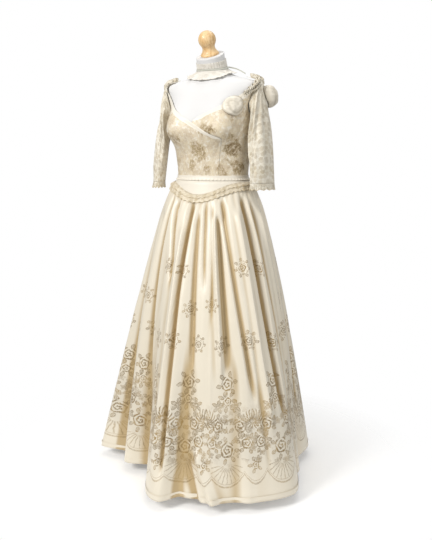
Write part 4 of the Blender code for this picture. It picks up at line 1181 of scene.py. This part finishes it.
sleeveLace, cuffLace = laceCloth("lace", 0.24, 0.335), laceCloth("lace_cuff", 0.020, 0.024)
for side, mirror in (("Left", False), ("Right", True)):
    makeSleeve(side, mirror, sleeveLace, cuffLace)
print("sleeves made")

# frills where the straps cross the shoulders
frill = {
    "columns": 300, "rows": 12, "waves": 13, "rise": 0.0095, "start": 60, "span": 64, "level": 1.3395,
    "arch": 0.042, "ripple": 0.0068, "beads": 20,
}


def makeFrill(name, mirror, material, node=None, start=frill["start"], span=frill["span"], drop=0.0, rise=1.0):
    share = np.linspace(0, 1, frill["columns"])
    angle = start + span * share
    across = 0.05 + 0.90 * (angle - frill["start"]) / frill["span"]
    level = frill["level"] - drop + frill["arch"] * np.sin(math.pi * across)
    seat = formPoint(angle, level, cloth["lap"] - 0.0001)
    lift = unit(formPoint(angle, level, cloth["lap"] + 0.0100) - seat)
    inward = unit(formPoint(angle, level + 0.004) - formPoint(angle, level))
    ends = np.sqrt(np.clip(np.sin(math.pi * share), 0, 1))
    rows = []
    for up in np.linspace(0, 1, frill["rows"]):
        wave = math.sin(math.pi / 2 * min(up * 1.1, 1))
        phase = 2 * math.pi * frill["waves"] * share + 1.2 * np.sin(9 * share + 1)
        ripple = frill["ripple"] * wave * np.sin(phase)
        height = frill["rise"] * rise * up * (0.35 + 0.65 * ends) + 0.0012 * wave * np.cos(2 * phase)
        rows.append(seat + lift * (height + 0.003 * up**1.5 * ends)[:, None] + inward * ripple[:, None])
    rows = np.array(rows)
    uv = clothMap(share * frill["beads"], np.linspace(1, 0, len(rows)))
    if mirror:
        rows = mirrored(rows)
        uv = uv[:, ::-1]
    obj = gridPiece(name, rows, uv=uv)
    clothe(obj, 0.0009, material, "lace", *((node,) if node else ()))


narrowLace = laceCloth("lace_edging", 0.0105, 0.026)
for side, mirror in (("Left", False), ("Right", True)):
    makeFrill("shoulderFrill" + side, mirror, narrowLace, "shoulder_frill_" + side.lower())
# more lace gathered on the wearer's left strap, between the rosette and the shoulder
makeFrill("strapLaceUpper", False, narrowLace, None, 56, 30, 0.006, 1.5)
makeFrill("strapLaceLower", False, narrowLace, None, 58, 26, 0.017, 1.3)

# the ribbon rosette: a puff on the bodice's front and one behind the sleeve's head
puff = {
    "spokes": 96, "rings": 26, "crimp": 0.0012,
    # the middle and half size of each: angle and height on the form, turn and share on the sleeve
    "bodice": (46, 15.0, 1.290, 0.033), "sleeve": (-45, 31.0, 0.172, 0.056),
}


def makePuff(name, node, place, depth, creases, material):
    spokes = np.arange(puff["spokes"]) * 2 * math.pi / puff["spokes"]
    shares = np.concatenate((1 - np.linspace(0, 1, puff["rings"]) ** 1.6 * 0.985, [0.0]))
    shares, a = np.meshgrid(shares, spokes, indexing="ij")
    arch = np.sqrt(np.clip(1 - shares**2, 0, 1))
    dome = depth * arch + puff["crimp"] * shares * np.cos(3 * a)
    swirl = np.sin(a - 9 * shares + 0.6 * np.sin(3 * a))
    spread = np.sin(11 * a + 2 * np.sin(2 * a) + 3 * shares)
    pleat = creases * shares**1.5 * arch * (spread * 0.5 + swirl * 1.5)
    # painted shade: darker along the swirl's creases and in a band at the rim
    paintedShade = np.clip(-swirl - 0.35, 0, 1) * shares * 1.1 + 0.35 * np.clip(shares - 0.9, 0, 1) / 0.1
    rows = place(shares * np.cos(a), shares * np.sin(a), dome + puff["crimp"] + pleat)
    obj = gridPiece(name, rows, closed=True, marks={"paintedShade": paintedShade})
    work = bmesh.new()
    work.from_mesh(obj.data)
    bmesh.ops.remove_doubles(work, verts=work.verts, dist=0.00002)
    work.to_mesh(obj.data)
    work.free()
    obj.data.shade_smooth()
    clothe(obj, 0.0010, material, "ribbon", node)
    return obj


def puffOnBodice(across, up, out):
    angle, wide, level, tall = puff["bodice"]
    return formPoint(angle + wide * across, level + tall * up, cloth["onForm"] + cloth["wall"] + out)


def puffOnSleeve(across, up, out):
    turn, wide, share, tall = puff["sleeve"]
    return sleevePoint(turn - wide * across, share - tall * up, cloth["wall"] - 0.0004 + out)


front = makePuff("petalFront", "petal_front", puffOnBodice, 0.013, 0.0022, ribbonCloth)
back = makePuff("petalBack", "petal_back", puffOnSleeve, 0.038, 0.0024, ribbonCloth)
print("frills and rosette made")

# the lace neckband, its flounce, the ribbon between them and the ribbon's free end
neck = {
    "columns": 432, "bandFoot": 1.4235, "bandTop": 1.446, "flounceTop": 1.4150, "front": 1.372, "side": 1.3990,
    "waves": 15, "bandRows": 10, "flounceRows": 18, "ribbonRows": 5, "bandBeads": 36, "flounceBeads": 40,
    "overlap": 0.0010,
}
ribbonTail = {
    "angle": 118, "below": 0.004, "out": 0.0041, "tip": (0.102, 0.045, 1.4050), "half": 0.0022, "arch": 0.004,
}


def makeNeck(material):
    angle = ringAngles(neck["columns"])
    turn = np.radians(angle)
    shares = np.linspace(0, 1, neck["bandRows"])
    share, angles = np.meshgrid(shares, angle, indexing="ij")
    bead = np.abs(np.sin(turn * (neck["bandBeads"] / 2))) * 0.0012
    level = neck["bandFoot"] + (neck["bandTop"] - neck["bandFoot"]) * share + bead * share**4 - 0.0006
    around = np.linspace(0, neck["bandBeads"], neck["columns"] + 1)
    points = formPoint(angles, level, cloth["onForm"] + 0.0006 * np.sin(angles * 0.6))
    obj = gridPiece("neckLace", points, closed=True, uv=clothMap(around, shares))
    clothe(obj, 0.0010, material, "lace", "neckband")
    rows = []
    phase = neck["waves"] * turn + 0.8 * np.sin(2 * turn + 1)
    edge = neck["side"] + (neck["front"] - neck["side"]) * np.cos(turn) ** 4
    edge = np.where(np.cos(turn) < 0, neck["side"] - 0.004 * np.cos(turn) ** 2, edge)
    shares, wave = np.linspace(1, 0, neck["flounceRows"]), np.cos(phase)
    for down in shares:
        lowest = edge - 0.0015 * wave - 0.0016 * (np.abs(np.sin(turn * (neck["flounceBeads"] / 2))) - 0.5)
        level = neck["flounceTop"] + (lowest - neck["flounceTop"]) * down
        rows.append(formPoint(angle, level, cloth["onForm"] + 0.0003 + 0.0026 * down * (1 + wave)))
    around = around * neck["flounceBeads"] / neck["bandBeads"]
    obj = gridPiece("neckFlounce", np.array(rows), closed=True, uv=clothMap(around, shares))
    clothe(obj, 0.0009, material, "lace", "neck_flounce")
    share, angles = np.meshgrid(np.linspace(0, 1, neck["ribbonRows"]), angle, indexing="ij")
    low, high = neck["flounceTop"] + neck["overlap"], neck["bandFoot"] - neck["overlap"]
    points = formPoint(angles, lerp(low, high, share), 0.0030 + 0.0004 * np.sin(math.pi * share))
    obj = gridPiece("neckRibbon", points, closed=True)
    clothe(obj, 0.0012, neckRibbonCloth, "ribbon", "neck_ribbon")


def makeRibbonTail():
    root = formPoint(ribbonTail["angle"], neck["bandFoot"] - ribbonTail["below"], ribbonTail["out"])
    tip, share = np.array(ribbonTail["tip"]), np.linspace(0, 1, 60)
    rows = []
    for across in np.linspace(-1, 1, 5):
        points = lerp(root, tip, share[:, None])
        points[:, 2] += ribbonTail["arch"] * np.sin(math.pi * share) + ribbonTail["half"] * across
        points[:, 1] += 0.0006 * across * np.sin(9 * share)
        rows.append(points)
    obj = gridPiece("ribbonTail", np.array(rows))
    clothe(obj, 0.0009, neckRibbonCloth, "ribbon", "neck_ribbon_tail")


makeNeck(laceCloth("neck_lace", 0.0105, 0.030, 0.5, 0.22, laceColours["neck"]))
makeRibbonTail()
print("neck made")


# floor, light and backdrop
def mixShaders(tree, factor, first, second, output):
    mix = tree.nodes.new("ShaderNodeMixShader")
    for place, socket in enumerate((factor, first, second)):
        tree.links.new(socket, mix.inputs[place])
    tree.links.new(mix.outputs[0], tree.nodes[output].inputs[0])


def makeStage():
    mesh = bpy.data.meshes.new("floor")
    ring = [(7 * math.cos(math.radians(a)), 7 * math.sin(math.radians(a)), -0.0005) for a in range(0, 360, 6)]
    mesh.from_pydata(ring, [], [list(range(len(ring)))])
    floor = addObject("floor", mesh)
    finish = Finish("floor", 0.9, specular=0.1)
    vector, _ = finish.place()
    finish.wear(finish.blend(finish.noise(vector, 3.0), (0.90, 0.90, 0.90), (0.92, 0.92, 0.92)))
    finish.shader.inputs["Emission Color"].default_value = (1, 1, 1, 1)
    finish.shader.inputs["Emission Strength"].default_value = 0.22
    away = finish.node("ShaderNodeVectorMath", {"operation": "LENGTH"}, {0: vector}, "Value")
    clear = finish.tree.nodes.new("ShaderNodeBsdfTransparent")
    mixShaders(finish.tree, away.soft(0.60, 0.46).socket, clear.outputs[0], finish.shader.outputs[0],
               "Material Output")
    mesh.materials.append(finish.material)


lamps = {  # place, aim, size, watts and colour
    "key": ((-1.2, -3.2, 2.8), (0, 0, 0.85), 1.3, 114, (1.0, 0.98, 0.95)),
    "fill": ((3.2, -1.9, 1.7), (0, 0, 0.8), 2.2, 42, (1.0, 0.99, 0.97)),
    "top": ((0.2, 0.6, 3.6), (0, 0, 0.6), 2.6, 36, (1.0, 1.0, 1.0)),
}


def makeLight():
    for name, (place, aim, size, watts, colour) in lamps.items():
        data = bpy.data.lights.new(name, "AREA")
        data.shape, data.size, data.energy, data.color = "SQUARE", size, watts, colour
        obj = addObject(name, data)
        obj.location = place
        obj.rotation_euler = (Vector(aim) - Vector(place)).to_track_quat("-Z", "Y").to_euler()
    world = bpy.data.worlds.new("studio")
    world.use_nodes = True
    bpy.context.scene.world = world
    tree = world.node_tree
    seen, dim = tree.nodes["Background"], tree.nodes.new("ShaderNodeBackground")
    seen.inputs[0].default_value, seen.inputs[1].default_value = (1, 1, 1, 1), 1.0
    dim.inputs[0].default_value, dim.inputs[1].default_value = (1.0, 0.985, 0.95, 1), 0.36
    path = tree.nodes.new("ShaderNodeLightPath")
    mixShaders(tree, path.outputs["Is Camera Ray"], dim.outputs[0], seen.outputs[0], "World Output")
    bpy.context.scene.view_settings.view_transform = "Standard"


makeStage()
makeLight()
print("stage and light made")
